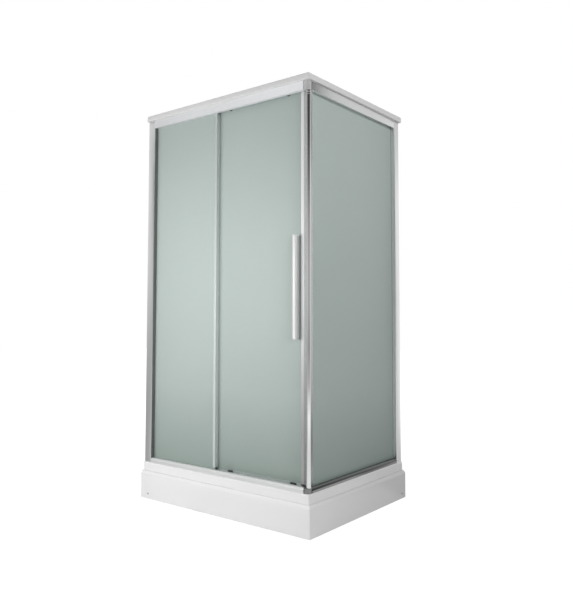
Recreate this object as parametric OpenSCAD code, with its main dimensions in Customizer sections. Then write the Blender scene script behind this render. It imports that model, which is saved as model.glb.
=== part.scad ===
// Rectangular corner shower cabin: stepped tray on a steel frame, aluminium frame with a
// chromed round corner post, one fixed front panel, a sliding door behind it, a fixed side
// panel, two wall panels, a roof, a waste with a lift-off cover, and a single-lever mixer
// with an overhead shower. Front is -Y, the side panel is at +X, floor is Z = 0.

/* [Tray] */
// Outer width of the tray over its apron
tray_w = 1150; // [1000:10:1300]
// Outer depth of the tray over its apron
tray_d = 900; // [800:10:1000]
// Height of the tray rim above the floor
rim_z = 192; // [180:1:230]
// Depth of the basin below the rim
basin_depth = 66; // [40:1:70]
// Fall of the basin floor towards the waste
floor_fall = 6; // [3:1:8]
// Corner radius of the basin at the rim
basin_r = 80; // [60:1:110]
// Width of the rim under the front and side rails
rim_front = 96; // [92:1:120]
// Width of the rim along the two walls
rim_wall = 60; // [45:1:90]
// Wall thickness of the tray and the apron
shell_t = 4; // [3:0.5:5]
// How far the tray lip stands behind the apron face
lip_inset = 18; // [14:1:22]
// Height of the lower edge of the tray lip
lip_z = 147; // [140:1:152]
// Height at which the apron starts to slope back
shoulder_z = 126; // [110:1:132]
// Gap between the apron and the floor
apron_gap = 2; // [1:1:6]
// Thickness of the board under the basin
board_t = 16; // [12:1:18]

/* [Support frame] */
// Side of the square steel tubes
tube = 25; // [20:1:30]
// Wall of the square steel tubes
tube_wall = 2; // [1.5:0.5:3]
// Radius of the foot rods
rod_r = 6; // [5:0.5:8]
// Radius of the foot pads
pad_r = 28; // [20:1:35]
// Height of the foot pads
pad_h = 14; // [10:1:18]
// Front tubes, in from the front of the tray
tube_front = 150; // [120:5:180]
// Rear tubes, in from the back of the tray
tube_back = 100; // [80:5:120]
// Left tubes, in from the left side of the tray
tube_left = 100; // [80:5:120]
// Right tubes, in from the right side of the tray
tube_right = 160; // [140:5:180]
// Middle tubes, out from the waste on each side
tube_mid = 130; // [115:5:145]

/* [Cabin frame] */
// Height of the whole cabin
total_h = 2150; // [2050:10:2250]
// How far the frame faces stand behind the apron face
frame_inset = 25; // [24:1:40]
// Height of the roof band
roof_band = 31; // [20:1:40]
// Thickness of the roof shell
roof_skin = 4; // [3:0.5:5]
// Rise of the roof panel above its band
roof_crown = 14; // [6:1:30]
// Roof overhang past the front and side rails
roof_over = 12; // [6:1:20]
// Roof overhang past the left wall side
roof_left = 9; // [2:1:20]
// Roof overhang past the back wall side
roof_back = 20; // [18:1:30]
// Height of the top rails
top_rail_h = 43; // [40:1:55]
// Height of the bottom rails
bot_rail_h = 24; // [22:1:30]
// Depth of the front rails, which hold glass and door
rail_depth = 76; // [74:1:90]
// Depth of the side rails, and of the wall posts
side_depth = 30; // [30:1:36]
// Face width of the two large posts
post_w = 48; // [40:1:60]
// Wall thickness of the extrusions
web = 2.2; // [1.6:0.1:3]
// Radius of the chromed corner post
corner_r = 10; // [9:0.5:10.5]
// Radius of the corner joints
joint_r = 19; // [18:0.5:21]
// Axis of the corner post, right of the axis of the joints
corner_right = 7.7; // [7:0.1:8]
// Axis of the corner post, in front of the axis of the joints
corner_front = 2; // [1.5:0.1:2.5]

/* [Glass] */
// Thickness of the glass
glass_t = 5; // [4:0.5:6]
// Depth of the fixed glass behind the frame face
fixed_set = 22; // [20:1:24]
// Depth of the door glass behind the frame face
door_set = 44; // [43:1:46]
// Width of the fixed front panel that shows beside its post
fixed_w = 469; // [400:1:520]
// How far the door reaches behind the fixed panel
overlap = 26; // [22:1:50]
// Thickness of the wall panels
wall_t = 4; // [3:0.5:5]
// Clearance of a pane in its groove, each side
groove_gap = 0.3; // [0.2:0.05:0.5]
// Depth to which a pane enters a post
groove_in = 22; // [14:1:24]
// Foot of the lowest clips, above the rim of the tray
clip_low = 82; // [60:1:100]
// Foot of the highest clips, below the top rails
clip_high = 63; // [50:1:80]

/* [Door and rollers] */
// Travel of the sliding door
door_travel = 420; // [300:5:430]
// Running radius of the top wheels
wheel_r = 11.5; // [10:0.5:12]
// Running radius of the bottom wheels
low_wheel_r = 9; // [8:0.5:9.5]
// Width of all wheels
wheel_w = 8; // [7:0.5:9]
// Height of the wheel flanges above the running face
flange = 2; // [1.5:0.5:2.5]
// Height of the top wheel axles below the top of the rail
axle_drop = 23; // [21:0.5:24]
// Radius of the roller caps outside the glass
cap_r = 16.5; // [14:0.5:18]
// Left top roller, from the left edge of the door glass
top_roller_a = 106; // [80:1:140]
// Right top roller, from the right edge of the door glass
top_roller_b = 90; // [60:1:140]
// Left bottom roller, from the left edge of the door glass
low_roller_a = 114; // [80:1:150]
// Right bottom roller, from the right edge of the door glass
low_roller_b = 62; // [45:1:140]
// Release stroke of the bottom rollers
release = 6; // [4:0.5:8]
// Running clearance of an axle in its wheel
axle_gap = 0.05; // [0.03:0.01:0.1]

/* [Handle] */
// Length of the handle
handle_l = 490; // [300:5:700]
// Height of the middle of the handle
handle_z = 1134; // [900:1:1300]
// Width of the handle's face
handle_w = 17; // [15:0.5:20]
// Depth of the handle from the glass
handle_d = 38; // [36:1:44]
// Depth of the grip at its front
grip_d = 12; // [10:0.5:14]
// Distance of the handle from the right edge of the door glass
handle_in = 32; // [26:1:60]

/* [Waste] */
// Distance of the waste from the left wall side
waste_x = 575; // [400:5:700]
// Distance of the waste from the back wall side
waste_y = 210; // [190:5:300]
// Radius of the waste cover
cover_r = 56; // [50:1:60]
// Radius of the outlet pipe
outlet_r = 20; // [16:1:25]

/* [Shower] */
// Distance of the mixer from the left wall side
mixer_x = 575; // [400:5:750]
// Height of the mixer
mixer_z = 1080; // [950:10:1200]
// Distance between the two water inlets
inlet_gap = 150; // [140:1:160]
// Radius of the inlet thread, G 1/2
inlet_r = 10.48; // [10:0.01:11]
// Distance of the mixer axis from the wall panel
mixer_out = 60; // [55:1:75]
// Radius of the mixer body
mixer_r = 21; // [18:0.5:24]
// Radius of the riser pipe
riser_r = 11; // [9:0.5:13]
// Distance of the shower arm below the top of the cabin
arm_drop = 145; // [130:5:200]
// Length of the shower arm, from the riser
arm_l = 330; // [250:5:400]
// Radius of the bend at the top of the riser
bend_r = 60; // [45:1:90]
// Radius of the shower head
head_r = 110; // [80:1:130]

/* [Hidden] */
$fn = 64;

// Planes of the tray, centred on the bounding box with the roof overhangs
x1 = (tray_w + roof_left) / 2;
x0 = x1 - tray_w;
y0 = -(tray_d + roof_back) / 2;
y1 = y0 + tray_d;
// Planes of the cabin frame
xr = x1 - frame_inset;
xl = x0;
yf = y0 + frame_inset;
yb = y1;
// Heights
roof_z = total_h - roof_band - roof_crown;
rail_z = roof_z - top_rail_h;
sill_z = rim_z + bot_rail_h;
floor_z = rim_z - basin_depth;
board_top = floor_z - shell_t;
board_z = board_top - floor_fall - board_t;
tube_z = board_z - tube;
// Basin outline
bx0 = x0 + rim_wall;
bx1 = x1 - lip_inset - rim_front;
by0 = y0 + lip_inset + rim_front;
by1 = y1 - rim_wall;
basin_slope = 22;
// Waste place
wx = x0 + waste_x;
wy = y1 - waste_y;
// Glass and door places
pane_lo = sill_z - 18;
pane_hi = roof_z - 7;
fixed_x1 = xl + post_w + fixed_w;
door_x0 = fixed_x1 - overlap;
door_x1 = xr - 58;
door_z0 = sill_z + 3;
door_z1 = roof_z - 11;
axle_z = roof_z - axle_drop;
wheel_d = door_set + glass_t + 9;
fin_t = 2.4;
fin_gap = 0.3;
low_fin_z = rim_z + 12;
low_axle_z = low_fin_z + fin_gap + low_wheel_r;
top_rollers = [door_x0 + top_roller_a, door_x1 - top_roller_b];
low_rollers = [door_x0 + low_roller_a, door_x1 - low_roller_b];
axle_r = 3;
low_axle_r = 2.5;
// Magnetic strips between door and corner post
profile_w = 19;
profile_x1 = xr - 54;
magnet_t = 5.5;
magnet_gap = 0.5;
// Seat of the fixed strip on the corner post, and the depth of its slot
seat_x = xr - 42;
seat_in = 4;
// Axis of the corner post on its joints, and the end of its grip on the side glass
corner_x = xr - joint_r + corner_right;
corner_y = yf + joint_r - corner_front;
grip_y = yf + side_depth + 29;
// Wall panels, in from the wall side of the frame
wall_set = 5;
wall_rail_d = 24;
wall_in = 16;
wall_face = wall_set + wall_t;
// Mixer and shower places
mx = x0 + mixer_x;
my = yb - wall_face - mixer_out;
hub_l = 26;
hub_r = 19;
stem_l = 6;
stem_r = 8;
hub_y = my - mixer_r - 8;
head_y = my - arm_l;
arm_z = total_h - arm_drop;
ball_z = arm_z - 34;
head_drop = 44;
face_z = ball_z - head_drop;
// Waste sizes: tube, cup of the trap, flange
waste_r = 43;
trap_r = 48;
flange_r = cover_r;

// Plan rectangle with one radius on all corners
module round_rect(xa, ya, xb, yb_, r) {
    translate([xa + r, ya]) square([xb - xa - 2 * r, yb_ - ya]);
    translate([xa, ya + r]) square([xb - xa, yb_ - ya - 2 * r]);
    for (x = [xa + r, xb - r], y = [ya + r, yb_ - r]) translate([x, y]) circle(r);
}

// Rectangle between two corners
module rect(xa, ya, xb, yb_) {
    translate([xa, ya]) square([xb - xa, yb_ - ya]);
}

// Block between two corners
module block(a, b) {
    translate(a) cube(b - a);
}

// A profile drawn as [depth behind the face, height], run along each side of the cabin
module along_front(xa, xb) {
    translate([xa, yf, 0]) rotate([90, 0, 90]) linear_extrude(xb - xa) children();
}
module along_side(ya, yb_) {
    translate([xr, ya, 0]) rotate([90, 0, 180]) linear_extrude(yb_ - ya) children();
}
module along_back(xa, xb) {
    translate([xb, yb, 0]) rotate([90, 0, 270]) linear_extrude(xb - xa) children();
}
module along_left(ya, yb_) {
    translate([xl, yb_, 0]) rotate([90, 0, 0]) linear_extrude(yb_ - ya) children();
}

// Round bar along Y from ya to yb_
module bar_y(x, ya, yb_, z, r) {
    translate([x, ya, z]) rotate([-90, 0, 0]) cylinder(r = r, h = yb_ - ya);
}

// Round bar along X from xa to xb
module bar_x(xa, xb, y, z, r) {
    translate([xa, y, z]) rotate([0, 90, 0]) cylinder(r = r, h = xb - xa);
}

// Thin layer of the basin form: inset from the rim outline, at height z
module basin_layer(inset, z) {
    r = max(basin_r - inset, 10);
    translate([0, 0, z]) linear_extrude(0.01)
        round_rect(bx0 + inset, by0 + inset, bx1 - inset, by1 - inset, r, $fn = 32);
}

// Basin form grown outwards by grow: sloping walls, a rounded foot and a fall to the waste
module basin_form(grow, lid) {
    foot = 18;
    hull() {
        basin_layer(-grow, rim_z + lid);
        basin_layer(basin_slope * 0.75 - grow, floor_z + foot - grow);
        for (a = [30, 60, 90])
            basin_layer(basin_slope * 0.75 + foot * (1 - cos(a)) - grow,
                        floor_z + foot * (1 - sin(a)) - grow);
        translate([wx, wy, floor_z - floor_fall - grow]) cylinder(r = cover_r + 8, h = 0.01, $fn = 32);
    }
}

// Acrylic tray: lip on the two open sides, rim, basin and waste seat
module tray() {
    lip_r = 8;
    draft = 2;
    color("white") difference() {
        union() {
            difference() {
                tray_block(lip_inset, draft, rim_z, lip_r);
                difference() {
                    translate([0, 0, -1])
                        tray_block(lip_inset + shell_t, draft, rim_z - shell_t + 1, lip_r);
                    block([x0 - 1, y0, lip_z - 1], [x0 + shell_t, y1 + 1, rim_z]);
                    block([x0 - 1, y1 - shell_t, lip_z - 1], [x1, y1 + 1, rim_z]);
                }
            }
            basin_form(shell_t, -2);
            translate([wx, wy, seat_z - shell_t]) cylinder(r = cover_r + 5, h = shell_t);
        }
        basin_form(0, 1);
        translate([wx, wy, 0]) cylinder(r = waste_r + 2, h = rim_z);
        translate([wx, wy, seat_z]) cylinder(r = cover_r + 2, h = rim_z);
    }
}

// Solid of the tray's outline with drafted front and side faces, up to height top
module tray_block(inset, draft, top, r) {
    face = [[inset, lip_z], [inset + draft, top - 3], [inset + draft + 3, top],
            [tray_d + tray_w, top], [tray_d + tray_w, lip_z]];
    intersection() {
        translate([x0, y0, 0]) rotate([90, 0, 90]) linear_extrude(tray_w) polygon(face);
        translate([x1, y0, 0]) rotate([90, 0, 180]) linear_extrude(tray_d) polygon(face);
        linear_extrude(rim_z + 1) corner_plan(inset, r);
    }
}

// Tray outline with its open corner rounded, drawn in from the apron face
module corner_plan(inset, r) {
    rect(x0, y0 + inset, x1 - inset - r, y1);
    rect(x0, y0 + inset + r, x1 - inset, y1);
    translate([x1 - inset - r, y0 + inset + r]) circle(r);
}

// Outline of the apron's face: upright, then a curved shoulder up to the tray lip
function shoulder(inset, steps = 6) = [
    for (i = [0:steps])
        [inset + (lip_inset - 0.5) * (1 - cos(90 * i / steps)) ,
         shoulder_z + (lip_z - shoulder_z) * sin(90 * i / steps)]
];

// Filled apron form, its face standing inset behind the outer face
module apron_form(inset, top_drop, r) {
    face = concat([[inset, apron_gap - inset]],
                  [for (p = shoulder(inset)) [p[0], p[1] - top_drop]],
                  [[2 * tray_w, lip_z - top_drop], [2 * tray_w, apron_gap - inset]]);
    intersection() {
        translate([x0, y0, 0]) rotate([90, 0, 90]) linear_extrude(tray_w) polygon(face);
        translate([x1, y0, 0]) rotate([90, 0, 180]) linear_extrude(tray_d) polygon(face);
        translate([0, 0, -10]) linear_extrude(rim_z) corner_plan(inset, r);
    }
}

// L-shaped apron with a flange that stands up behind the tray lip
module apron() {
    edge_r = 5;
    back = lip_inset + shell_t + 3;
    color("white") difference() {
        union() {
            difference() {
                apron_form(0, 0, edge_r);
                apron_form(shell_t, shell_t, edge_r);
                translate([0, 0, -20]) linear_extrude(rim_z + 40)
                    rect(x0 - 1, y0 + 60, x1 - 60, y1 + 1);
            }
            translate([0, 0, lip_z - shell_t]) linear_extrude(shell_t + 22) difference() {
                corner_plan(back, edge_r);
                corner_plan(back + shell_t, edge_r);
                rect(x0 - 1, y0, x0 + shell_t + 1, y1 + 1);
                rect(x0 - 1, y1 - shell_t - 1, x1 + 1, y1 + 1);
            }
        }
        for (s = [0, 1]) apron_screw_at(s) {
            translate([0, 0, -1]) cylinder(r = 2.6, h = shell_t + 2);
            translate([0, 0, -0.01]) cylinder(r1 = 4.6, r2 = 2.6, h = 2);
        }
        translate([0, 0, lip_z - 30]) linear_extrude(100) difference() {
            rect(x0 - 1, y0 - 1, x1 + 1, y1 + 1);
            rect(x0 - 1, y0 - 1, x1 + 1, y0 + back + shell_t);
            rect(x1 - back - shell_t, y0 - 1, x1 + 1, y1 + 1);
        }
    }
}

// Places of the two apron screws: front face near the wall, side face near the wall
module apron_screw_at(side) {
    screw_z = 29;
    if (side == 0) translate([x0 + 58, y0, screw_z]) rotate([-90, 0, 0]) children();
    else translate([x1, y1 - 40, screw_z]) rotate([0, -90, 0]) children();
}

module apron_screws() {
    color("dimgray") for (s = [0, 1]) apron_screw_at(s) difference() {
        union() {
            translate([0, 0, 0.1]) cylinder(r1 = 4.4, r2 = 2.4, h = 2);
            translate([0, 0, 1]) cylinder(r = 2.5, h = 13);
        }
        rotate(25) translate([-3.2, -0.5, -1]) cube([6.4, 1, 2]);
    }
}

// Wooden board bonded under the basin
module base_board() {
    color("burlywood") difference() {
        linear_extrude_between(board_z, board_top + 6)
            round_rect(bx0 + 40, by0 + 40, bx1 - 40, by1 - 40, 20);
        basin_form(shell_t, 0);
        translate([wx, wy, 0]) cylinder(r = cover_r + 6, h = rim_z);
    }
}

module linear_extrude_between(za, zb) {
    translate([0, 0, za]) linear_extrude(zb - za) children();
}

// Centre lines of the support tubes
tube_ya = y0 + tube_front;
tube_yb = y1 - tube_back;
tube_xa = x0 + tube_left;
tube_xb = x1 - tube_right;
tube_xm = wx - tube_mid;
tube_xn = wx + tube_mid;
foot_places = [for (x = [tube_xa, tube_xm, tube_xb], y = [tube_ya, tube_yb]) [x, y]];

// Square tube along X or Y, centred on its line
module tube_along_x(xa, xb, y) {
    difference() {
        block([xa, y - tube / 2, tube_z], [xb, y + tube / 2, board_z]);
        block([xa - 1, y - tube / 2 + tube_wall, tube_z + tube_wall],
              [xb + 1, y + tube / 2 - tube_wall, board_z - tube_wall]);
    }
}
module tube_along_y(x, ya, yb_) {
    difference() {
        block([x - tube / 2, ya, tube_z], [x + tube / 2, yb_, board_z]);
        block([x - tube / 2 + tube_wall, ya - 1, tube_z + tube_wall],
              [x + tube / 2 - tube_wall, yb_ + 1, board_z - tube_wall]);
    }
}

// Welded frame with the two drop brackets that take the apron screws
module tray_frame() {
    half = tube / 2;
    plate = 3;
    color("slategray") difference() {
        union() {
            for (y = [tube_ya, tube_yb]) tube_along_x(tube_xa - half, tube_xb + half, y);
            for (x = [tube_xa, tube_xm, tube_xn, tube_xb])
                tube_along_y(x, tube_ya + half, tube_yb - half);
            block([x0 + 38, y0 + shell_t, 15], [x0 + 78, y0 + shell_t + plate, board_z]);
            block([x0 + 38, y0 + shell_t, board_z - plate], [tube_xa + half, tube_ya - half, board_z]);
            block([x1 - shell_t - plate, y1 - 60, 15], [x1 - shell_t, y1 - 20, board_z]);
            block([tube_xb - half, y1 - 60, board_z - plate], [x1 - shell_t, y1 - 20, board_z]);
            block([tube_xb - half, tube_yb + half, board_z - plate], [tube_xb + half, y1 - 40, board_z]);
        }
        for (p = foot_places) translate([p[0], p[1], tube_z - 1])
            cylinder(r = rod_r + 0.4, h = tube_wall + 2);
        for (s = [0, 1]) apron_screw_at(s) cylinder(r = 2.55, h = shell_t + plate + 1);
    }
}

module foot_rods() {
    color("silver") for (p = foot_places) translate([p[0], p[1], pad_h - 8])
        cylinder(r = rod_r, h = tube_z + tube - tube_wall - 2 - pad_h + 8);
}

module foot_nuts() {
    color("silver") for (p = foot_places) translate([p[0], p[1], tube_z - 10]) difference() {
        cylinder(r = rod_r * 1.75, h = 10, $fn = 6);
        translate([0, 0, -1]) cylinder(r = rod_r, h = 12, $fn = 48);
    }
}

module foot_pads() {
    color("black") for (p = foot_places) translate([p[0], p[1], 0]) rotate_extrude() polygon([
        [0, 0], [pad_r - 1.5, 0], [pad_r, 1.5], [pad_r, 4], [pad_r - 3, 6.5],
        [rod_r + 6, 8], [rod_r + 5, pad_h], [rod_r, pad_h], [rod_r, pad_h - 8], [0, pad_h - 8]
    ]);
}

// Height of the waste seat in the basin floor
seat_z = floor_z - floor_fall - 2;

module waste_body() {
    r = waste_r;
    color("gainsboro") translate([wx, wy, 0]) rotate_extrude() polygon([
        [r - 9, seat_z - 26], [r, seat_z - 26], [r, seat_z], [flange_r, seat_z], [flange_r, seat_z + 2.2],
        [r - 1, seat_z + 2.2], [r - 3, seat_z - 4], [r - 7, seat_z - 4], [r - 9, seat_z - 8]
    ]);
}

module waste_gasket() {
    color("black") translate([wx, wy, seat_z - 2 - shell_t]) difference() {
        cylinder(r = flange_r, h = 2);
        translate([0, 0, -1]) cylinder(r = waste_r + 0.3, h = 4);
    }
}

// Trap with its nut ring, cup and side outlet towards the back wall
module waste_trap() {
    trap_z = 22;
    top = seat_z - 2 - shell_t;
    out_z = trap_z + outlet_r + 8;
    color("whitesmoke") difference() {
        union() {
            translate([wx, wy, 0]) rotate_extrude() polygon([
                [0, trap_z], [trap_r - 8, trap_z], [trap_r, trap_z + 8], [trap_r, top - 14],
                [flange_r, top - 12], [flange_r, top], [0, top]
            ]);
            bar_y(wx, wy + trap_r - 18, y1 - 12, out_z, outlet_r);
            bar_y(wx, wy + trap_r - 4, wy + trap_r + 14, out_z, outlet_r + 5);
        }
        translate([wx, wy, top - 20]) cylinder(r = waste_r, h = 40);
        translate([wx, wy, trap_z + 4]) cylinder(r = trap_r - 10, h = top - trap_z);
        bar_y(wx, wy + trap_r - 28, y1, out_z, outlet_r - 2.5);
    }
}

// Lift-off cover: shallow dome on three legs that sit in the waste body
module waste_cover() {
    z = seat_z + 2.2;
    color("silver") translate([wx, wy, 0]) {
        rotate_extrude() polygon(concat(
            [[0, z + 5], [cover_r - 8, z + 3.2], [cover_r - 8, z + 1.5], [cover_r - 2, z + 1.5],
             [cover_r - 1, z + 2.4]],
            [for (i = [1:6]) [(cover_r - 2) * cos(15 * i), z + 2.4 + 6 * sin(15 * i)]]
        ));
        for (a = [90:120:330]) rotate(a) translate([37.8, 0, seat_z - 4]) cylinder(r = 1.8, h = 11);
    }
}

// Large wall post: width a along the face, depth b, groove for glass at its far edge,
// groove for the wall panel in its rear, two hollow chambers
module wall_post_plan() {
    g0 = fixed_set - groove_gap;
    g1 = fixed_set + glass_t + groove_gap;
    p0 = wall_set - groove_gap;
    p1 = wall_face + groove_gap;
    difference() {
        union() {
            round_rect(0, 0, post_w, side_depth, 3);
            rect(0, side_depth / 2, post_w, side_depth);
        }
        rect(post_w - groove_in - 1, g0, post_w + 1, g1);
        rect(p0, side_depth - wall_in - 2, p1, side_depth + 1);
        rect(p1 + web, web + 1, post_w - groove_in - 1 - web, side_depth - web);
        rect(post_w - groove_in, web, post_w - web, g0 - web);
    }
}

// That post with its screw holes
module wall_post() {
    difference() {
        translate([0, 0, rim_z]) linear_extrude(roof_z - rim_z) wall_post_plan();
        post_screw_holes();
    }
}

module post_front_left() {
    color("gainsboro") translate([xl, yf, 0]) wall_post();
}

module post_back_right() {
    color("gainsboro") translate([xr, yb, 0]) mirror([1, 1, 0]) wall_post();
}

module post_back_left() {
    p0 = wall_set - groove_gap;
    p1 = wall_face + groove_gap;
    color("gainsboro") translate([xl, yb, rim_z]) linear_extrude(roof_z - rim_z) difference() {
        rect(0, -side_depth, side_depth, 0);
        rect(p0, -side_depth - 1, p1, -side_depth + wall_in + 2);
        rect(side_depth - wall_in - 2, -p1, side_depth + 1, -p0);
        rect(p1 + web, -side_depth + web, side_depth - web, -p1 - web);
    }
}

// Chromed round post with a grooved ferrule at each end, the channel for the side glass and the
// seat for the fixed magnetic strip
ferrule_h = 22;
module post_corner() {
    leg0 = fixed_set - groove_gap;
    leg1 = fixed_set + glass_t + groove_gap;
    leg_t = 3;
    bridge_y = yf + side_depth - 7;
    color("silver") {
        translate([0, 0, sill_z]) linear_extrude(rail_z - sill_z) difference() {
            union() {
                translate([corner_x, corner_y]) circle(corner_r);
                rect(xr - side_depth, bridge_y, corner_x, yf + side_depth);
                rect(xr - side_depth, bridge_y, xr - leg1, yf + door_set + 9);
                rect(xr - leg0, bridge_y, xr - leg0 + leg_t, grip_y);
                rect(seat_x, yf + door_set - 3, xr - side_depth + 1, yf + door_set + 9);
            }
            translate([corner_x, corner_y]) circle(corner_r - web);
            rect(seat_x - 1, yf + door_set, seat_x + seat_in, yf + door_set + glass_t + 1);
        }
        for (z = [sill_z, rail_z - ferrule_h]) translate([corner_x, corner_y, z]) ferrule();
    }
}

// Ring on the end of the corner post, with a groove round its middle
module ferrule() {
    r = corner_r + 1;
    g = 2;
    rotate_extrude() polygon([
        [corner_r - 1, 0], [r - 0.5, 0], [r, 0.5], [r, ferrule_h / 2 - g], [r - 0.6, ferrule_h / 2 - g],
        [r - 0.6, ferrule_h / 2 + g], [r, ferrule_h / 2 + g], [r, ferrule_h - 0.5],
        [r - 0.5, ferrule_h], [corner_r - 1, ferrule_h]
    ]);
}

// Slots, webs and legs of the front part shared by all top rails
module top_rail_face() {
    leg0 = fixed_set - groove_gap;
    rect(0, rail_z + 1, web, roof_z);
    rect(1, rail_z, leg0, rail_z + web);
    translate([1, rail_z + 1]) circle(1);
    rect(leg0 - 3, rail_z, leg0, roof_z);
    rect(0, roof_z - 2.5, side_depth, roof_z);
}

// Front top rail: face, glass channel, rear wall and the fin that the wheels run on
module rail_top_front() {
    leg1 = fixed_set + glass_t + groove_gap;
    fin_z = axle_z - wheel_r - fin_gap;
    ledge = wheel_d - 4;
    color("gainsboro") difference() {
        along_front(xl + wall_rail_d, xr - side_depth) {
            top_rail_face();
            rect(leg1, rail_z + 8, leg1 + 3, roof_z);
            rect(leg1, roof_z - 2.5, rail_depth, roof_z);
            rect(rail_depth - web, rail_z, rail_depth, roof_z);
            rect(ledge, rail_z, rail_depth, rail_z + web);
            rect(wheel_d - fin_t / 2, rail_z, wheel_d + fin_t / 2, fin_z - fin_t / 2);
            translate([wheel_d, fin_z - fin_t / 2]) circle(fin_t / 2);
        }
        block([xl - 1, yf - 1, rail_z - 1], [xl + post_w, yf + side_depth, roof_z + 1]);
        translate([xr - joint_r, yf + joint_r, rail_z - 1]) cylinder(r = joint_r + 0.2, h = top_rail_h + 2);
    }
}

module rail_top_side() {
    leg1 = fixed_set + glass_t + groove_gap;
    color("gainsboro") difference() {
        along_side(yf + side_depth, yb - post_w) {
            top_rail_face();
            rect(leg1, rail_z, side_depth, roof_z);
        }
        translate([xr - joint_r, yf + joint_r, rail_z - 1]) cylinder(r = joint_r + 0.2, h = top_rail_h + 2);
    }
}

// Channel that holds the top edge of a wall panel
module wall_rail_plan(za, zb, slot_a, slot_b) {
    difference() {
        rect(0, za, wall_rail_d, zb);
        rect(wall_set - groove_gap, slot_a, wall_face + groove_gap, slot_b);
        rect(wall_face + groove_gap + web, za + web, wall_rail_d - web, zb - web);
    }
}

module wall_rails_top() {
    color("gainsboro") {
        along_back(xl + side_depth, xr - side_depth)
            wall_rail_plan(rail_z, roof_z, rail_z - 1, roof_z - 10);
        along_left(yf + rail_depth, yb - side_depth)
            wall_rail_plan(rail_z, roof_z, rail_z - 1, roof_z - 10);
    }
}

module wall_rails_bottom() {
    color("gainsboro") {
        along_back(xl + side_depth, xr - side_depth)
            wall_rail_plan(rim_z, sill_z + 6, rim_z + 3, sill_z + 7);
        along_left(yf + rail_depth, yb - side_depth)
            wall_rail_plan(rim_z, sill_z + 6, rim_z + 3, sill_z + 7);
    }
}

// Outline of the bottom rails up to the glass seat: foot, sloping shoulder, flat top
bot_step = 13;
bot_run = 7;
slot_in = fixed_set - groove_gap;
slot_out = fixed_set + glass_t + groove_gap;
bot_face = [
    [0, rim_z], [0, rim_z + bot_step], [1, rim_z + bot_step + 1.5], [bot_run - 1.5, sill_z - 1],
    [bot_run, sill_z], [slot_in, sill_z], [slot_in, pane_lo], [slot_out, pane_lo], [slot_out, sill_z - 2]
];

// Hollow chamber behind that face
module bottom_rail_hollow() {
    polygon([[web, rim_z + web], [web, rim_z + bot_step - 0.5], [bot_run + 0.5, sill_z - web],
             [slot_in - web, sill_z - web], [slot_in - web, rim_z + web]]);
}

// Round fin on the sill that the bottom wheels straddle
sill_t = 2.5;
function low_fin() = concat(
    [[wheel_d - fin_t / 2, rim_z + sill_t]],
    [for (a = [180:-30:0]) [wheel_d + fin_t / 2 * cos(a), low_fin_z - fin_t / 2 * (1 - sin(a))]],
    [[wheel_d + fin_t / 2, rim_z + sill_t]]
);

module rail_bottom_front() {
    inner = rail_depth - web;
    color("gainsboro") difference() {
        along_front(xl + wall_rail_d, xr - side_depth) difference() {
            polygon(concat(bot_face, [[slot_out + 3, sill_z - 2], [slot_out + 3, rim_z + sill_t]], low_fin(),
                           [[inner, rim_z + sill_t], [inner, sill_z - 2], [rail_depth, sill_z - 2],
                            [rail_depth, rim_z]]));
            bottom_rail_hollow();
        }
        block([xl - 1, yf - 1, rim_z - 1], [xl + post_w, yf + side_depth + 0.5, sill_z + 1]);
        translate([xr - joint_r, yf + joint_r, rim_z - 1]) cylinder(r = joint_r + 0.2, h = bot_rail_h + 2);
    }
}

module rail_bottom_side() {
    color("gainsboro") difference() {
        along_side(yf + side_depth, yb - post_w) difference() {
            polygon(concat(bot_face, [[side_depth, sill_z - 2], [side_depth, rim_z]]));
            bottom_rail_hollow();
        }
        translate([xr - joint_r, yf + joint_r, rim_z - 1]) cylinder(r = joint_r + 0.2, h = bot_rail_h + 2);
    }
}

// Round joints between the rails, each with two arms that enter the rails
module corner_joints() {
    arm = 24;
    color("silver") {
        corner_joint(rail_z, roof_z, roof_z - 19, roof_z - 4, arm);
        corner_joint(rim_z, sill_z, rim_z + 4, rim_z + 11, arm);
    }
}
module corner_joint(za, zb, arm_a, arm_b, arm) {
    difference() {
        translate([xr - joint_r, yf + joint_r, za]) cylinder(r = joint_r, h = zb - za);
        block([xr - fixed_set - glass_t - 1, yf + side_depth - 0.3, za - 1],
              [xr - fixed_set + 1, yf + 2 * joint_r + 1, zb + 1]);
    }
    block([xr - side_depth - arm, yf + web + 1, arm_a], [xr - joint_r, yf + fixed_set - 6, arm_b]);
    block([xr - fixed_set + 6, yf + joint_r, arm_a], [xr - web - 1, yf + side_depth + arm, arm_b]);
}

// Places of the screws in the inner face of a large post: frame screws, then clip screws
frame_screw_x = wall_face + groove_gap + web + 5;
clip_screw_x = post_w - 5;
screw_r = 2;
module post_screws(clips) {
    if (!clips) for (z = [rim_z + 40, rail_z - 12]) translate([frame_screw_x, side_depth, z]) children();
    if (clips) for (z = clip_zs) translate([clip_screw_x, side_depth, z]) children();
}

// Holes for those screws
module post_screw_holes() {
    for (clips = [false, true]) post_screws(clips)
        rotate([90, 0, 0]) translate([0, 0, -1]) cylinder(r = screw_r + 0.1, h = 7);
}

module frame_screws() {
    color("silver") {
        translate([xl, yf, 0]) post_screw_set();
        translate([xr, yb, 0]) mirror([1, 1, 0]) post_screw_set();
    }
}
module post_screw_set() {
    post_screws(false) frame_screw();
    post_screws(true) translate([0, clip_t, 0]) frame_screw();
}
module frame_screw() {
    difference() {
        union() {
            rotate([-90, 0, 0]) cylinder(r1 = 4, r2 = 2.6, h = 2);
            rotate([90, 0, 0]) cylinder(r = screw_r, h = 5.5);
        }
        translate([0, 1, 0]) rotate([-90, 0, 0]) cylinder(r = 1.2, h = 2, $fn = 6);
    }
}

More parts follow.
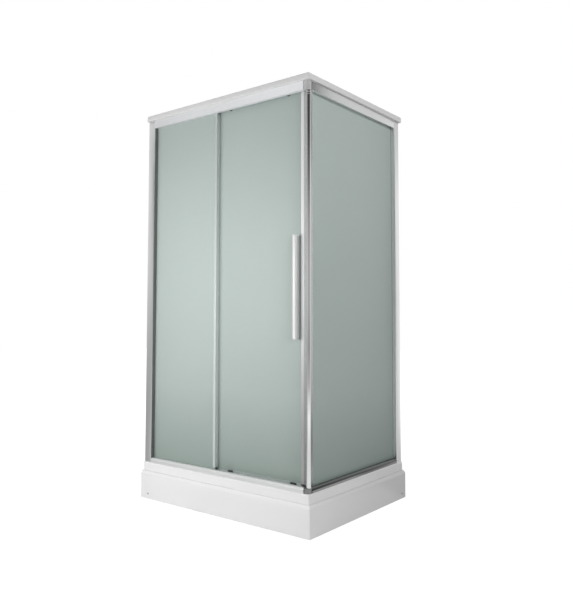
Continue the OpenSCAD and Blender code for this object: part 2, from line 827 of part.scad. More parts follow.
// Edge of the roof in section, drawn in by t: foot, rounded nose, raised panel
function roof_edge(t, nose = 8, steps = 4) = concat(
    t > 0 ? [[t, roof_z + t]] : [[4, roof_z], [1, roof_z + 2], [0, roof_z + 6]],
    [for (i = [0:steps]) let (a = 80 * i / steps)
        [t + nose * (1 - cos(a)), roof_z + roof_band - t - nose + nose * sin(a)]],
    [[90 + t, total_h - 2 - t], [120 + t, total_h - t]]
);

// Section right across the roof, span wide
module roof_section(span, t) {
    edge = roof_edge(t);
    n = len(edge);
    polygon(concat(edge, [for (i = [n - 1:-1:0]) [span - edge[i][0], edge[i][1]]]));
}

// Filled roof form, drawn in by t on all sides
module roof_form(t) {
    xa = xl - roof_left;
    xb = xr + roof_over;
    ya = yf - roof_over;
    yc = yb + roof_back;
    intersection() {
        translate([xa, ya, 0]) rotate([90, 0, 90]) linear_extrude(xb - xa) roof_section(yc - ya, t);
        translate([xa, yc, 0]) rotate([90, 0, 0]) linear_extrude(yc - ya) roof_section(xb - xa, t);
        linear_extrude(total_h + 1) round_rect(xa + t, ya + t, xb - t, yc - t, 12 - t);
    }
}

// Moulded roof: hollow shell with a flat flange that lies on the rails
module roof() {
    flange_w = 46;
    color("white") difference() {
        roof_form(0);
        roof_form(roof_skin);
        translate([0, 0, roof_z - 1]) linear_extrude(roof_skin + 2)
            round_rect(xl - roof_left + flange_w, yf - roof_over + flange_w,
                       xr + roof_over - flange_w, yb + roof_back - flange_w, 20);
    }
}

module glass_fixed() {
    color([0.7, 0.8, 0.76, 0.6]) block([xl + post_w - groove_in, yf + fixed_set, pane_lo],
                                       [fixed_x1, yf + fixed_set + glass_t, pane_hi]);
}

module glass_side() {
    color([0.7, 0.8, 0.76, 0.6]) block([xr - fixed_set - glass_t, yf + side_depth, pane_lo],
                                       [xr - fixed_set, yb - post_w + groove_in, pane_hi]);
}

// Door glass with the two holes of its roller bolts and the two of its handle
module glass_door() {
    color([0.7, 0.8, 0.76, 0.6]) difference() {
        block([door_x0, yf + door_set, door_z0], [door_x1, yf + door_set + glass_t, door_z1]);
        for (x = top_rollers) bar_y(x, yf + door_set - 1, yf + door_set + glass_t + 1, axle_z, axle_r + 2);
        for (z = handle_holes)
            bar_y(handle_x, yf + door_set - 1, yf + door_set + glass_t + 1, z, 5.5);
    }
}

module wall_left() {
    color("white") block([xl + wall_set, yf + side_depth - wall_in, rim_z + 3],
                         [xl + wall_face, yb - side_depth + wall_in, roof_z - 10]);
}

module wall_back() {
    color("white") difference() {
        block([xl + side_depth - wall_in, yb - wall_face, rim_z + 3],
              [xr - side_depth + wall_in, yb - wall_set, roof_z - 10]);
        for (x = inlets) bar_y(x, yb - 20, yb, mixer_z, inlet_r + 2);
    }
}

// Dark strip that lines the post and presses on the fixed glass
module seal_fixed_left() {
    color("dimgray") linear_extrude_between(sill_z, rail_z) {
        rect(xl + post_w, yf + 3, xl + post_w + 1.6, yf + fixed_set);
        rect(xl + post_w, yf + fixed_set - 3, xl + post_w + 4, yf + fixed_set);
    }
}

// Clear profile on the free edge of the fixed glass, with a fin towards the door
module seal_fixed_edge() {
    ya = yf + fixed_set;
    yc = ya + glass_t;
    t = 1.5;
    color("lightgray") {
        linear_extrude_between(sill_z, rail_z) difference() {
            rect(fixed_x1 - 14, ya - t, fixed_x1 + t, yc + t);
            rect(fixed_x1 - 15, ya, fixed_x1, yc);
        }
        linear_extrude_between(door_z0 + 6, rail_z)
            rect(fixed_x1, yc + t - 0.5, fixed_x1 + t, yf + door_set - 0.5);
    }
}

// Clear strips at both upright edges of the side glass
module seal_side() {
    t = 1.8;
    color("lightgray") {
        linear_extrude_between(sill_z, rail_z)
            rect(xr - fixed_set, yb - post_w - 4, xr - fixed_set + t, yb - post_w);
        linear_extrude_between(sill_z, rail_z)
            rect(xr - fixed_set, grip_y, xr - fixed_set + t, grip_y + 4);
    }
}

// Dark blocks that lock both fixed panes to their posts from inside
clip_zs = [for (i = [0:3]) rim_z + clip_low + i * (rail_z - rim_z - clip_low - clip_high) / 3];
clip_h = 24;
clip_t = 4;
module glass_clips() {
    color("dimgray") {
        translate([xl, yf, 0]) clip_column();
        translate([xr, yb, 0]) mirror([1, 1, 0]) clip_column();
    }
}
module clip_column() {
    for (z = clip_zs) translate([post_w, 0, z - clip_h / 2]) {
        difference() {
            block([-10, side_depth, 0], [16, side_depth + clip_t, clip_h]);
            bar_y(clip_screw_x - post_w, side_depth - 1, side_depth + clip_t + 1, clip_h / 2, screw_r + 0.1);
        }
        block([0.3, fixed_set + glass_t, 0], [16, side_depth + 1, clip_h]);
    }
}

// Aluminium edge profile of the door, which carries its magnetic strip
module door_profile() {
    ya = yf + door_set;
    color("silver") linear_extrude_between(door_z0, rail_z + 6) difference() {
        union() {
            rect(profile_x1 - profile_w + 2, ya - 3, profile_x1, ya + glass_t + 2.5);
            rect(profile_x1 - profile_w, ya - 1.5, profile_x1, ya + glass_t + 1.5);
        }
        rect(profile_x1 - profile_w - 1, ya, door_x1, ya + glass_t);
        rect(profile_x1 - 2, ya, profile_x1 + 1, ya + glass_t);
    }
}

module magnet_door() {
    color("dimgray") linear_extrude_between(door_z0 + 2, rail_z - 2) {
        rect(profile_x1 - 2, yf + door_set, profile_x1, yf + door_set + glass_t);
        rect(profile_x1, yf + door_set - 2, profile_x1 + magnet_t, yf + door_set + glass_t + 2);
    }
}

module magnet_post() {
    xa = profile_x1 + magnet_t + magnet_gap;
    color("dimgray") linear_extrude_between(sill_z, rail_z) {
        rect(xa, yf + door_set - 2, seat_x, yf + door_set + glass_t + 2);
        rect(seat_x, yf + door_set, seat_x + seat_in, yf + door_set + glass_t + 1);
    }
}

// Clear profile on the hidden edge of the door, with a fin towards the fixed glass
module seal_door_left() {
    ya = yf + door_set;
    t = 1.5;
    color("lightgray") {
        linear_extrude_between(door_z0 + 2, rail_z - 2) difference() {
            rect(door_x0 - t, ya - t, door_x0 + 10, ya + glass_t + t);
            rect(door_x0, ya, door_x0 + 11, ya + glass_t);
        }
        linear_extrude_between(door_z0 + 4, rail_z - 2)
            rect(door_x0 - t, yf + fixed_set + glass_t + 4.5, door_x0, ya - t + 0.5);
    }
}

// Sweep under the door glass, cut at the bottom rollers
module seal_door_bottom() {
    ya = yf + door_set;
    cuts = [door_x0 + 1, low_rollers[0] - 18, low_rollers[0] + 18,
            low_rollers[1] - 18, low_rollers[1] + 18, profile_x1 - profile_w - 1];
    color("lightgray") for (i = [0, 2, 4]) translate([cuts[i], yf, 0]) rotate([90, 0, 90])
        linear_extrude(cuts[i + 1] - cuts[i]) difference() {
            union() {
                rect(door_set - 1.5, door_z0 - 3, door_set + glass_t + 1.5, door_z0 + (i == 0 ? -0.2 : 4));
                rect(door_set + 1.5, rim_z + 3.5, door_set + 3, door_z0 - 2);
            }
            rect(door_set, door_z0 - 0.2, door_set + glass_t, door_z0 + 5);
        }
}

// Round caps outside the door glass
module roller_caps() {
    ya = yf + door_set;
    color("silver") for (x = top_rollers) translate([x, ya, axle_z]) rotate([90, 0, 0])
        difference() {
            rotate_extrude() polygon([[0, 0], [cap_r - 1.5, 0], [cap_r, 1], [cap_r, 5.5],
                                      [cap_r - 2.5, 8], [7, 8], [6, 7], [0, 7]]);
            translate([0, 0, -1]) cylinder(r = axle_r + 0.1, h = 6);
        }
}

// Bolts through the glass: thread, eccentric bush on the inside and nut behind the wheel
module roller_bolts() {
    ya = yf + door_set;
    hub = wheel_d - wheel_w / 2 - 0.3;
    tail = wheel_d + wheel_w / 2 + 0.3;
    color("silver") for (x = top_rollers) {
        bar_y(x, ya - 5, yf + tail + 4.5, axle_z, axle_r);
        bar_y(x, ya + glass_t, yf + hub, axle_z, 8);
        bar_y(x, ya, ya + glass_t, axle_z, axle_r + 1.9);
        translate([x, yf + tail, axle_z]) rotate([-90, 0, 0]) cylinder(r = 6, h = 4, $fn = 6);
    }
}

// Grooved wheel on an axle along Y: running radius r, bore for an axle of radius bore
module wheel(x, z, r, bore) {
    w = wheel_w / 2;
    translate([x, yf + wheel_d, z]) rotate([90, 0, 0]) difference() {
        rotate_extrude() polygon([
            [bore - 1, -w], [r + flange - 0.5, -w], [r + flange, -w + 0.5], [r + flange, -w + 1],
            [r, -fin_t / 2 - 0.4], [r, fin_t / 2 + 0.4], [r + flange, w - 1], [r + flange, w - 0.5],
            [r + flange - 0.5, w], [bore - 1, w]
        ]);
        translate([0, 0, -w - 1]) cylinder(r = bore + axle_gap, h = wheel_w + 2);
    }
}

module top_wheel_left() {
    color("whitesmoke") wheel(top_rollers[0], axle_z, wheel_r, axle_r);
}
module top_wheel_right() {
    color("whitesmoke") wheel(top_rollers[1], axle_z, wheel_r, axle_r);
}

// Guides of the bottom rollers: foot under the glass, plate inside it, two lipped cheeks
cheek = 5;
lip = 3;
guide_w = 34;
guide_h = 45;
guide_top = low_axle_z + guide_h;
slide_gap = 0.3;
carrier_w = guide_w - 2 * cheek - 2 * slide_gap;
carrier_t = 4.5;
carrier_d = wheel_d + wheel_w / 2 + 0.5;
module low_housings() {
    half = guide_w / 2;
    back = door_set + glass_t;
    lip_d = carrier_d + carrier_t + slide_gap;
    color("dimgray") for (x = low_rollers) translate([x, yf, 0]) {
        block([-half, door_set - 2, rim_z + 14], [half, back + 0.5, door_z0]);
        block([-half, back, rim_z + 14], [half, back + 3, guide_top]);
        for (s = [0, 1]) mirror([s, 0, 0]) {
            block([half - cheek, back, door_z0 + 6], [half, lip_d + 2, guide_top]);
            block([half - cheek - lip, lip_d, door_z0 + 6], [half, lip_d + 2, guide_top]);
        }
        block([-half, back, guide_top - 2], [half, back + 8, guide_top]);
    }
}

// Sliding carrier with the wheel's axle and a release tab
module low_carrier(x) {
    tab_z = guide_top - release - 9;
    color("gray") translate([x, yf, 0]) {
        block([-carrier_w / 2, carrier_d, low_axle_z - 8], [carrier_w / 2, carrier_d + carrier_t, tab_z + 5]);
        block([-6, carrier_d - 3, tab_z], [6, carrier_d + 12, tab_z + 5]);
        bar_y(0, wheel_d - wheel_w / 2 - 0.6, carrier_d + 1, low_axle_z, low_axle_r);
    }
}
module low_carrier_left() { low_carrier(low_rollers[0]); }
module low_carrier_right() { low_carrier(low_rollers[1]); }

module low_wheel_left() {
    color("whitesmoke") wheel(low_rollers[0], low_axle_z, low_wheel_r, low_axle_r);
}
module low_wheel_right() {
    color("whitesmoke") wheel(low_rollers[1], low_axle_z, low_wheel_r, low_axle_r);
}

// Handle: drawn profile that stands on the glass and is open to the left for the fingers, with a
// rounded grip in front, a web set back behind it and a base
handle_x = door_x1 - handle_in;
handle_holes = [handle_z - handle_l / 2 + 45, handle_z + handle_l / 2 - 45];
handle_base = 7;
module handle_plan() {
    r = 5;
    face = handle_w / 2;
    web_x = face - 2;
    web_t = 5;
    rear = grip_d - handle_d;
    polygon(concat(
        [for (a = [0:15:90]) [face - r + r * sin(a), r - handle_d - r * cos(a)]],
        [[face, rear], [web_x, rear], [web_x, 0], [-web_x, 0], [-web_x, -handle_base],
         [web_x - web_t, -handle_base], [web_x - web_t, rear], [-face, rear]],
        [for (a = [90:-15:0]) [r - face - r * sin(a), r - handle_d - r * cos(a)]]
    ));
}
module handle_bar() {
    ya = yf + door_set;
    color("silver") difference() {
        translate([handle_x, ya, handle_z - handle_l / 2]) linear_extrude(handle_l) handle_plan();
        for (z = handle_holes) bar_y(handle_x, ya - handle_base + 1, ya + 1, z, 3.1);
    }
}

// Bolts with bushes, washers and inner caps that hold the handle through the glass
module handle_bolts() {
    ya = yf + door_set;
    color("silver") for (z = handle_holes) {
        bar_y(handle_x, ya - handle_base + 1, ya + glass_t + 6, z, 3);
        bar_y(handle_x, ya, ya + glass_t, z, 5.4);
        bar_y(handle_x, ya + glass_t, ya + glass_t + 1, z, 9);
        translate([handle_x, ya + glass_t + 1, z]) rotate([-90, 0, 0])
            cylinder(r1 = 8.5, r2 = 7, h = 5);
    }
}

// Rubber stops on the wheel ledge at both ends of the travel
module door_buffers() {
    size = 20;
    reach = wheel_r + flange + 1.2;
    color("black") for (x = [top_rollers[0] - door_travel - reach - size, top_rollers[1] + reach])
        translate([x, yf, 0]) difference() {
            block([0, wheel_d - 4, rail_z + web], [size, wheel_d + 5, axle_z + 4]);
            block([-1, wheel_d - fin_t / 2, rail_z], [size + 1, wheel_d + fin_t / 2, axle_z - wheel_r - fin_gap]);
        }
}

// Mixer: cross bar with domed ends, two inlets with wall roses, cartridge housing, riser outlet
inlets = [mx - inlet_gap / 2, mx + inlet_gap / 2];
module mixer_body() {
    wall = yb - wall_face;
    end = inlet_gap / 2 + 24;
    color("silver") {
        bar_x(mx - end, mx + end, my, mixer_z, mixer_r);
        for (s = [-1, 1]) translate([mx + s * end, my, mixer_z]) rotate([0, s * 90, 0])
            rotate_extrude() polygon(concat([[0, -1], [mixer_r, -1]],
                [for (a = [0:18:90]) [mixer_r * cos(a), 6 * sin(a)]]));
        for (x = inlets) {
            bar_y(x, my, wall + 6, mixer_z, 11.5);
            bar_y(x, my + 10, my + 26, mixer_z, 15.5);
            translate([x, wall, mixer_z]) rotate([90, 0, 0])
                cylinder(r1 = 33, r2 = 25, h = 10);
            bar_y(x, wall, yb + 14, mixer_z, inlet_r);
        }
        bar_y(mx, hub_y, my, mixer_z, hub_r + 3);
        bar_y(mx, hub_y - stem_l, my, mixer_z, stem_r);
        translate([mx, my, mixer_z]) cylinder(r = riser_r + 4, h = mixer_r + 9);
    }
}

// Hub turns about the cartridge axis and carries the lever's pivot
module mixer_hub() {
    color("silver") difference() {
        translate([mx, hub_y - 0.3, mixer_z]) rotate([90, 0, 0]) rotate_extrude() polygon(concat(
            [[0, 0], [hub_r, 0]],
            [for (a = [0:15:90]) [hub_r - 4 + 4 * cos(a), hub_l - 4 + 4 * sin(a)]], [[0, hub_l]]));
        block([mx - 6.3, hub_y - hub_l - 2, mixer_z - hub_r - 1], [mx + 6.3, hub_y - 9, mixer_z + 6]);
        bar_x(mx - 12, mx + 12, pivot_y, mixer_z, 2.5);
        bar_y(mx, hub_y - stem_l - 0.4, hub_y, mixer_z, stem_r + axle_gap);
    }
}

// Lever: pivot pin, root in the hub's slot, tapered blade hanging down
pivot_y = hub_y - hub_l / 2 - 2;
module mixer_lever() {
    color("silver") {
        bar_x(mx - 11.6, mx + 11.6, pivot_y, mixer_z, 2.45);
        bar_x(mx - 6, mx + 6, pivot_y, mixer_z, 5);
        hull() {
            translate([mx - 6, pivot_y - 9, mixer_z - 4]) cube([12, 9, 4]);
            translate([mx - 6, pivot_y - 14, mixer_z - 30]) cube([12, 7, 4]);
        }
        hull() {
            translate([mx - 6, pivot_y - 14, mixer_z - 30]) cube([12, 7, 4]);
            translate([mx, pivot_y - 14, mixer_z - 92]) rotate([-90, 0, 0]) cylinder(r = 9, h = 5, $fn = 32);
        }
    }
}

// Riser with a bend and a straight arm, bored through
module riser_shape(r) {
    foot = mixer_z + mixer_r + 9;
    translate([mx, my, foot]) cylinder(r = r, h = arm_z - bend_r - foot);
    translate([mx, my - bend_r, arm_z - bend_r]) rotate([90, 0, 90]) rotate_extrude(angle = 90)
        translate([bend_r, 0]) circle(r);
    bar_y(mx, head_y + 14, my - bend_r, arm_z, r);
}
module riser_pipe() {
    color("silver") difference() {
        union() {
            riser_shape(riser_r);
            translate([mx, my, mixer_z + mixer_r + 9]) cylinder(r = riser_r + 3.5, h = 14, $fn = 6);
            bar_y(mx, head_y - 14, head_y + 15, arm_z, riser_r + 3);
            translate([mx, head_y, ball_z + 11]) cylinder(r = 12, h = arm_z - ball_z - 11);
            translate([mx, head_y, ball_z]) sphere(r = 8);
            translate([mx, head_y, ball_z]) cylinder(r = 5, h = 20);
        }
        riser_shape(riser_r - 1.5);
    }
}

// Wall bracket that steadies the riser
module riser_bracket() {
    z = mixer_z + 0.72 * (arm_z - mixer_z);
    wall = yb - wall_face;
    color("silver") difference() {
        union() {
            bar_y(mx, wall - 8, wall, z, 24);
            bar_y(mx, my, wall, z, 8);
            translate([mx, my, z - 11]) cylinder(r = riser_r + 5, h = 22);
        }
        translate([mx, my, z - 12]) cylinder(r = riser_r + 0.05, h = 24);
    }
}

// Socket that wraps the ball; it tilts first, the head then tilts across it
clevis_y = 16.5;
module head_swivel() {
    color("silver") translate([mx, head_y, ball_z]) difference() {
        rotate_extrude() polygon([[0, -16], [13, -16], [14, -8], [14, 3], [11, 6.5], [8.2, 6.5], [0, 6.5]]);
        sphere(r = 8.08);
        cylinder(r = 7.4, h = 10);
        translate([0, 0, 2]) cylinder(r1 = 7, r2 = 10.5, h = 6);
        bar_y(0, -clevis_y - 4, clevis_y + 4, -12, 2.3);
    }
}

// Head: shallow dome, flat spray face with rings of nozzles, clevis on the swivel
module shower_head() {
    color("silver") {
        translate([mx, head_y, 0]) rotate_extrude() polygon(concat(
            [[0, face_z + 4], [16, face_z + 24], [20, face_z + 22]],
            [for (i = [1:8]) [20 + (head_r - 22) * sin(90 * i / 8), face_z + 12 + 10 * cos(90 * i / 8)]],
            [[head_r, face_z + 9], [head_r, face_z + 4], [head_r - 3, face_z], [0, face_z]]
        ));
        for (s = [-1, 1]) translate([mx, head_y + s * clevis_y, 0]) {
            block([-7, -2, face_z + 16], [7, 2, ball_z - 12]);
            bar_y(0, -2, 2, ball_z - 12, 7);
        }
        bar_y(mx, head_y - clevis_y, head_y + clevis_y, ball_z - 12, 2.2);
        for (ring = [1:4]) for (i = [0:ring * 6 - 1]) rotate_nozzle(ring * head_r / 5, i * 60 / ring, face_z);
    }
}
module rotate_nozzle(r, a, z) {
    translate([mx + r * cos(a), head_y + r * sin(a), z - 2]) cylinder(r1 = 1.2, r2 = 2, h = 2.5, $fn = 16);
}

tray();
apron();
apron_screws();
base_board();
tray_frame();
foot_rods();
foot_nuts();
foot_pads();
waste_body();
waste_gasket();
waste_trap();
waste_cover();
post_front_left();
post_corner();
post_back_right();
post_back_left();
rail_top_front();
rail_top_side();
wall_rails_top();
rail_bottom_front();
rail_bottom_side();
wall_rails_bottom();
corner_joints();
frame_screws();
roof();
glass_fixed();
glass_side();
glass_door();
wall_back();
wall_left();
seal_fixed_left();
seal_fixed_edge();
seal_side();
glass_clips();
magnet_post();
door_profile();
magnet_door();
seal_door_left();
seal_door_bottom();
roller_caps();
roller_bolts();
top_wheel_left();
top_wheel_right();
low_housings();
low_carrier_left();
low_carrier_right();
low_wheel_left();
low_wheel_right();
handle_bar();
handle_bolts();
door_buffers();
mixer_body();
mixer_hub();
mixer_lever();
riser_pipe();
riser_bracket();
head_swivel();
shower_head();
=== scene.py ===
"""Shower cabin with a stepped tray, satin glass and a chromed corner post: pieces, finishes, studio.

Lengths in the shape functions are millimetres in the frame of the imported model; skin() turns them
into metres. Lengths in the finishes and the studio are metres.
"""
import math
from functools import partial

import bmesh
import bpy
import numpy as np
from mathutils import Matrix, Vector


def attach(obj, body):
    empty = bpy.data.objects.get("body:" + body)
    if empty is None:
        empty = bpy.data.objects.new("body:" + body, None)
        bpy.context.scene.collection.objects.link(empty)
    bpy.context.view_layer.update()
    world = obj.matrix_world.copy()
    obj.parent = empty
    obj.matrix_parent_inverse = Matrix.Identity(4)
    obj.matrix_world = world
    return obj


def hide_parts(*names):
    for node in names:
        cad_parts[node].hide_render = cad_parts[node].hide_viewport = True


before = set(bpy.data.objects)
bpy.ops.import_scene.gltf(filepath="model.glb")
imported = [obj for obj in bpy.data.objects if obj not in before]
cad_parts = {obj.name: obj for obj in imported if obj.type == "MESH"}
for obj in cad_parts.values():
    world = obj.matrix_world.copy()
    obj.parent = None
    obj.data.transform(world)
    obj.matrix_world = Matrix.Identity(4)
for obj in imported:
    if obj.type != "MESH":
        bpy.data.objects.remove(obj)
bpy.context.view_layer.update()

# Planes and heights of the cabin
LEFT, RIGHT, FRONT, BACK = -570.5, 554.5, -435.0, 440.0
TRAY_RIGHT, TRAY_FRONT = 579.5, -460.0
RIM, SILL, RAIL, ROOF, TOP = 192.0, 216.0, 2062.0, 2105.0, 2150.0
POST_X, POST_Y, POST_R = 543.2, -418.0, 10.0
JOINT_X, JOINT_Y, JOINT_R, JOINT_CLEAR = 535.5, -416.0, 19.0, 19.2
WHEEL_Y, TOP_AXLE, LOW_AXLE = -377.0, 2082.0, 213.3
TOP_ROLLERS, LOW_ROLLERS = (26.5, 406.5), (34.5, 434.5)
DRAIN_X, DRAIN_Y = 4.5, 230.0
MIXER_X, MIXER_Y, MIXER_Z = 4.5, 371.0, 1080.0
HEAD_Y, ARM_Z, BALL_Z = 41.0, 2005.0, 1971.0
TINY = 1e-12


# Outlines and surfaces

def rounded(corners, radius=0.5, steps=4):
    """Section outline with rounded corners, all of one radius or each of its own third value.

    Each corner gives way to an arc that touches both sides and takes at most 0.48 of either. Its centre
    lies on the bisector at radius / sin(half angle); its points are the centre plus radius times cosine
    and sine of angles spaced evenly from one touching point to the other."""
    p = np.asarray(corners, float)
    if p.shape[1] == 3:
        p, radius = p[:, :2], p[:, 2]
    back, ahead = np.roll(p, 1, 0) - p, np.roll(p, -1, 0) - p
    long_b, long_a = np.linalg.norm(back, axis=1), np.linalg.norm(ahead, axis=1)
    back, ahead = back / long_b[:, None], ahead / long_a[:, None]
    half = np.arccos(np.clip((back * ahead).sum(1), -1, 1)) / 2
    r = np.minimum(np.broadcast_to(radius, half.shape), 0.48 * np.minimum(long_b, long_a) * np.tan(half))
    middle = back + ahead
    middle /= np.maximum(np.linalg.norm(middle, axis=1), TINY)[:, None]
    centre = p + middle * (r / np.sin(half))[:, None]
    first = p + back * (r / np.tan(half))[:, None] - centre
    last = p + ahead * (r / np.tan(half))[:, None] - centre
    start = np.arctan2(first[:, 1], first[:, 0])
    turn = (np.arctan2(last[:, 1], last[:, 0]) - start + np.pi) % (2 * np.pi) - np.pi
    angle = start[:, None] + turn[:, None] * np.linspace(0, 1, steps)
    away = np.stack([np.cos(angle), np.sin(angle)], -1) * r[:, None, None]
    return (centre[:, None] + away).reshape(-1, 2)


def inward(outline):
    """Mitred inward direction at each point: twice the sum of the two side normals over its square,
    which is kept above 0.6 at sharp corners."""
    ahead = np.roll(outline, -1, 0) - outline
    area = (outline[:, 0] * np.roll(outline[:, 1], -1) - np.roll(outline[:, 0], -1) * outline[:, 1]).sum()
    n = np.stack([-ahead[:, 1], ahead[:, 0]], 1) * np.sign(area)
    n /= np.linalg.norm(n, axis=1)[:, None] + TINY
    both = n + np.roll(n, 1, 0)
    return 2 * both / np.maximum((both ** 2).sum(1), 0.6)[:, None]


AXES = {"x": (1, 2, 0), "y": (0, 2, 1), "z": (0, 1, 2)}


def run(outline, axis, a, b, edge=0.5, steps=3):
    """Section carried straight from a to b along an axis; its two values lie across the axis.

    Near each end the section draws in by edge * (1 - sin t) at a distance edge * (1 - cos t) from the
    end, with t from 0 to a right angle, which rounds the end's rim."""
    t = np.linspace(0, np.pi / 2, steps + 1)
    draw, go = edge * (1 - np.sin(t)), edge * (1 - np.cos(t))
    along = np.concatenate([a + go, (b - go)[::-1]])
    drawn = np.concatenate([draw, draw[::-1]])
    flat = outline[None] + inward(outline)[None] * drawn[:, None, None]
    rings = np.empty(flat.shape[:2] + (3,))
    u, v, w = AXES[axis]
    rings[..., u], rings[..., v], rings[..., w] = flat[..., 0], flat[..., 1], along[:, None]
    return rings


def turned(profile, centre, axis="z", around=64):
    """Profile of (radius, height) turned about an axis: centre plus radius times cosine and sine of the
    angle across the axis, and the height along it."""
    p = np.asarray(profile, float)
    t = np.arange(around) * 2 * np.pi / around
    rings = np.empty((len(p), around, 3))
    u, v, w = AXES[axis]
    rings[..., u] = centre[u] + p[:, :1] * np.cos(t)
    rings[..., v] = centre[v] + p[:, :1] * np.sin(t)
    rings[..., w] = centre[w] + p[:, 1:]
    return rings


def soft_profile(points, radius=0.6, steps=4):
    """Profile of a turned piece with rounded corners: the corners between its two ends are rounded as in
    rounded(), by closing it along the axis first and leaving that side out."""
    p = np.asarray(points, float)
    far = np.array([[-60.0, p[-1, 1]], [-60.0, p[0, 1]]])
    loop = rounded(np.concatenate([p, far]), radius, steps)
    return np.concatenate([p[:1], loop[steps:(len(p) - 1) * steps], p[-1:]])


def rod(r, a, b, soft, centre, axis="z", around=64, steps=4):
    """Closed cylinder of radius r from a to b along an axis, with rounded rims."""
    return turned(soft_profile([[0, a], [r, a], [r, b], [0, b]], soft, steps), centre, axis, around)


def carried(path, outline):
    """Section carried along a path that lies in one upright plane of constant x: each ring is the path
    point plus the section's first value across the path, in the plane, and its second value along x."""
    path = np.asarray(path, float)
    ahead = np.gradient(path, axis=0)
    ahead /= np.linalg.norm(ahead, axis=1)[:, None]
    side = np.stack([np.zeros(len(path)), -ahead[:, 2], ahead[:, 1]], 1)
    return (path[:, None] + side[:, None] * outline[None, :, :1]
        + np.array([1.0, 0, 0]) * outline[None, :, 1:])


def circle(r, n):
    """Circle of n points: r times cosine and sine of evenly spaced angles."""
    t = np.arange(n) * 2 * np.pi / n
    return r * np.stack([np.cos(t), np.sin(t)], 1)


def rect(xa, ya, xb, yb):
    return [[xa, ya], [xb, ya], [xb, yb], [xa, yb]]


def arc(x, z, across, up, a, b, count):
    """Points round (x, z) at evenly spaced angles from a to b degrees: across times the cosine and up
    times the sine."""
    t = np.radians(np.linspace(a, b, count))
    return np.stack([x + across * np.cos(t), z + up * np.sin(t)], 1)


def plan_ring(xa, ya, xb, yb, radii, z):
    """Level ring round a rectangle with rounded corners.

    The four arcs come from rounded(); between them each side has points spaced evenly from the end of
    one arc to the start of the next, so that rings of different size match point for point."""
    per_side, per_corner = 14, 9
    arcs = rounded(rect(xa, ya, xb, yb), radii, per_corner).reshape(4, per_corner, 2)
    f = np.linspace(0, 1, per_side + 2)[1:-1][None, :, None]
    sides = arcs[:, -1:] * (1 - f) + np.roll(arcs[:, :1], -1, 0) * f
    flat = np.concatenate([arcs, sides], 1).reshape(-1, 2)
    return np.concatenate([flat, np.full((len(flat), 1), z)], 1)


# Pieces

WELD = 2e-6


def shell_faces(rings, wrap, offset):
    """Faces of a skin through rings: a four-sided face between each pair of neighbouring points on
    neighbouring rings, and one flat face over the first and the last ring unless they are joined."""
    k, n = rings.shape[:2]
    i, j = np.meshgrid(np.arange(k if wrap else k - 1), np.arange(n), indexing="ij")
    up, on = (i + 1) % k, (j + 1) % n
    quads = np.stack([i * n + j, i * n + on, up * n + on, up * n + j], -1).reshape(-1, 4) + offset
    faces = quads.tolist()
    if not wrap:
        faces.append((np.arange(n)[::-1] + offset).tolist())
        faces.append((np.arange(n) + (k - 1) * n + offset).tolist())
    return faces


def add(name, data):
    """New object in the scene."""
    thing = bpy.data.objects.new(name, data)
    bpy.context.scene.collection.objects.link(thing)
    return thing


def place(name, mesh, made, node_name, body, sharp):
    """Piece of one finish that rides on a body and takes the place of a node, if one is named."""
    mesh.shade_smooth()
    mesh.set_sharp_from_angle(angle=math.radians(sharp))
    mesh.materials.clear()
    mesh.materials.append(made)
    piece = add(name, mesh)
    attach(piece, body)
    if node_name:
        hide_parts(node_name)
    return piece


def skin(name, shells, made, node_name="", body="cabin", wrap=False, sharp=38):
    """One piece from closed skins through stacks of rings, in millimetres.

    Points of a ring that fall together, such as a pole, are merged, faces are turned outwards, and
    edges sharper than the given angle stay crisp."""
    shells = [shells] if isinstance(shells, np.ndarray) else shells
    verts, faces, count = [], [], 0
    for rings in shells:
        verts.append(rings.reshape(-1, 3))
        faces += shell_faces(rings, wrap, count)
        count += rings.shape[0] * rings.shape[1]
    mesh = bpy.data.meshes.new(name)
    mesh.from_pydata((np.concatenate(verts) / 1000).tolist(), [], faces)
    tidy = bmesh.new()
    tidy.from_mesh(mesh)
    bmesh.ops.remove_doubles(tidy, verts=tidy.verts, dist=WELD)
    bmesh.ops.dissolve_degenerate(tidy, edges=tidy.edges, dist=WELD / 2)
    bmesh.ops.recalc_face_normals(tidy, faces=tidy.faces)
    tidy.to_mesh(mesh)
    tidy.free()
    place(name, mesh, made, node_name, body, sharp)


def eased(node_name, name, made, width, body, sharp=38):
    """Piece with the form of a node, its triangles merged, flat faces made whole and edges rounded."""
    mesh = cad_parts[node_name].data.copy()
    mesh.name = name
    tidy = bmesh.new()
    tidy.from_mesh(mesh)
    bmesh.ops.remove_doubles(tidy, verts=tidy.verts, dist=WELD)
    bmesh.ops.dissolve_limit(tidy, angle_limit=math.radians(0.8), verts=tidy.verts, edges=tidy.edges)
    tidy.to_mesh(mesh)
    tidy.free()
    rim = place(name, mesh, made, node_name, body, sharp).modifiers.new("rim", "BEVEL")
    rim.width, rim.segments, rim.limit_method = width / 1000, 2, "ANGLE"
    rim.angle_limit, rim.harden_normals = math.radians(sharp), True


# Shader nodes

def tree_of(values):
    """Node tree of the first socket among some values."""
    return next(v for v in values if isinstance(v, bpy.types.NodeSocket)).id_data


def feed(socket, value):
    """An input takes another socket's output or a plain value."""
    if isinstance(value, bpy.types.NodeSocket):
        socket.id_data.links.new(value, socket)
    else:
        socket.default_value = value


def node(kind, tree=None, **values):
    """New node, in the tree of its values. They set its own properties or, by name (spaces as _), its
    inputs."""
    made = (tree or tree_of(values.values())).nodes.new("ShaderNode" + kind)
    for title, value in values.items():
        if hasattr(made, title):
            setattr(made, title, value)
        else:
            feed(made.inputs[title.replace("_", " ")], value)
    return made


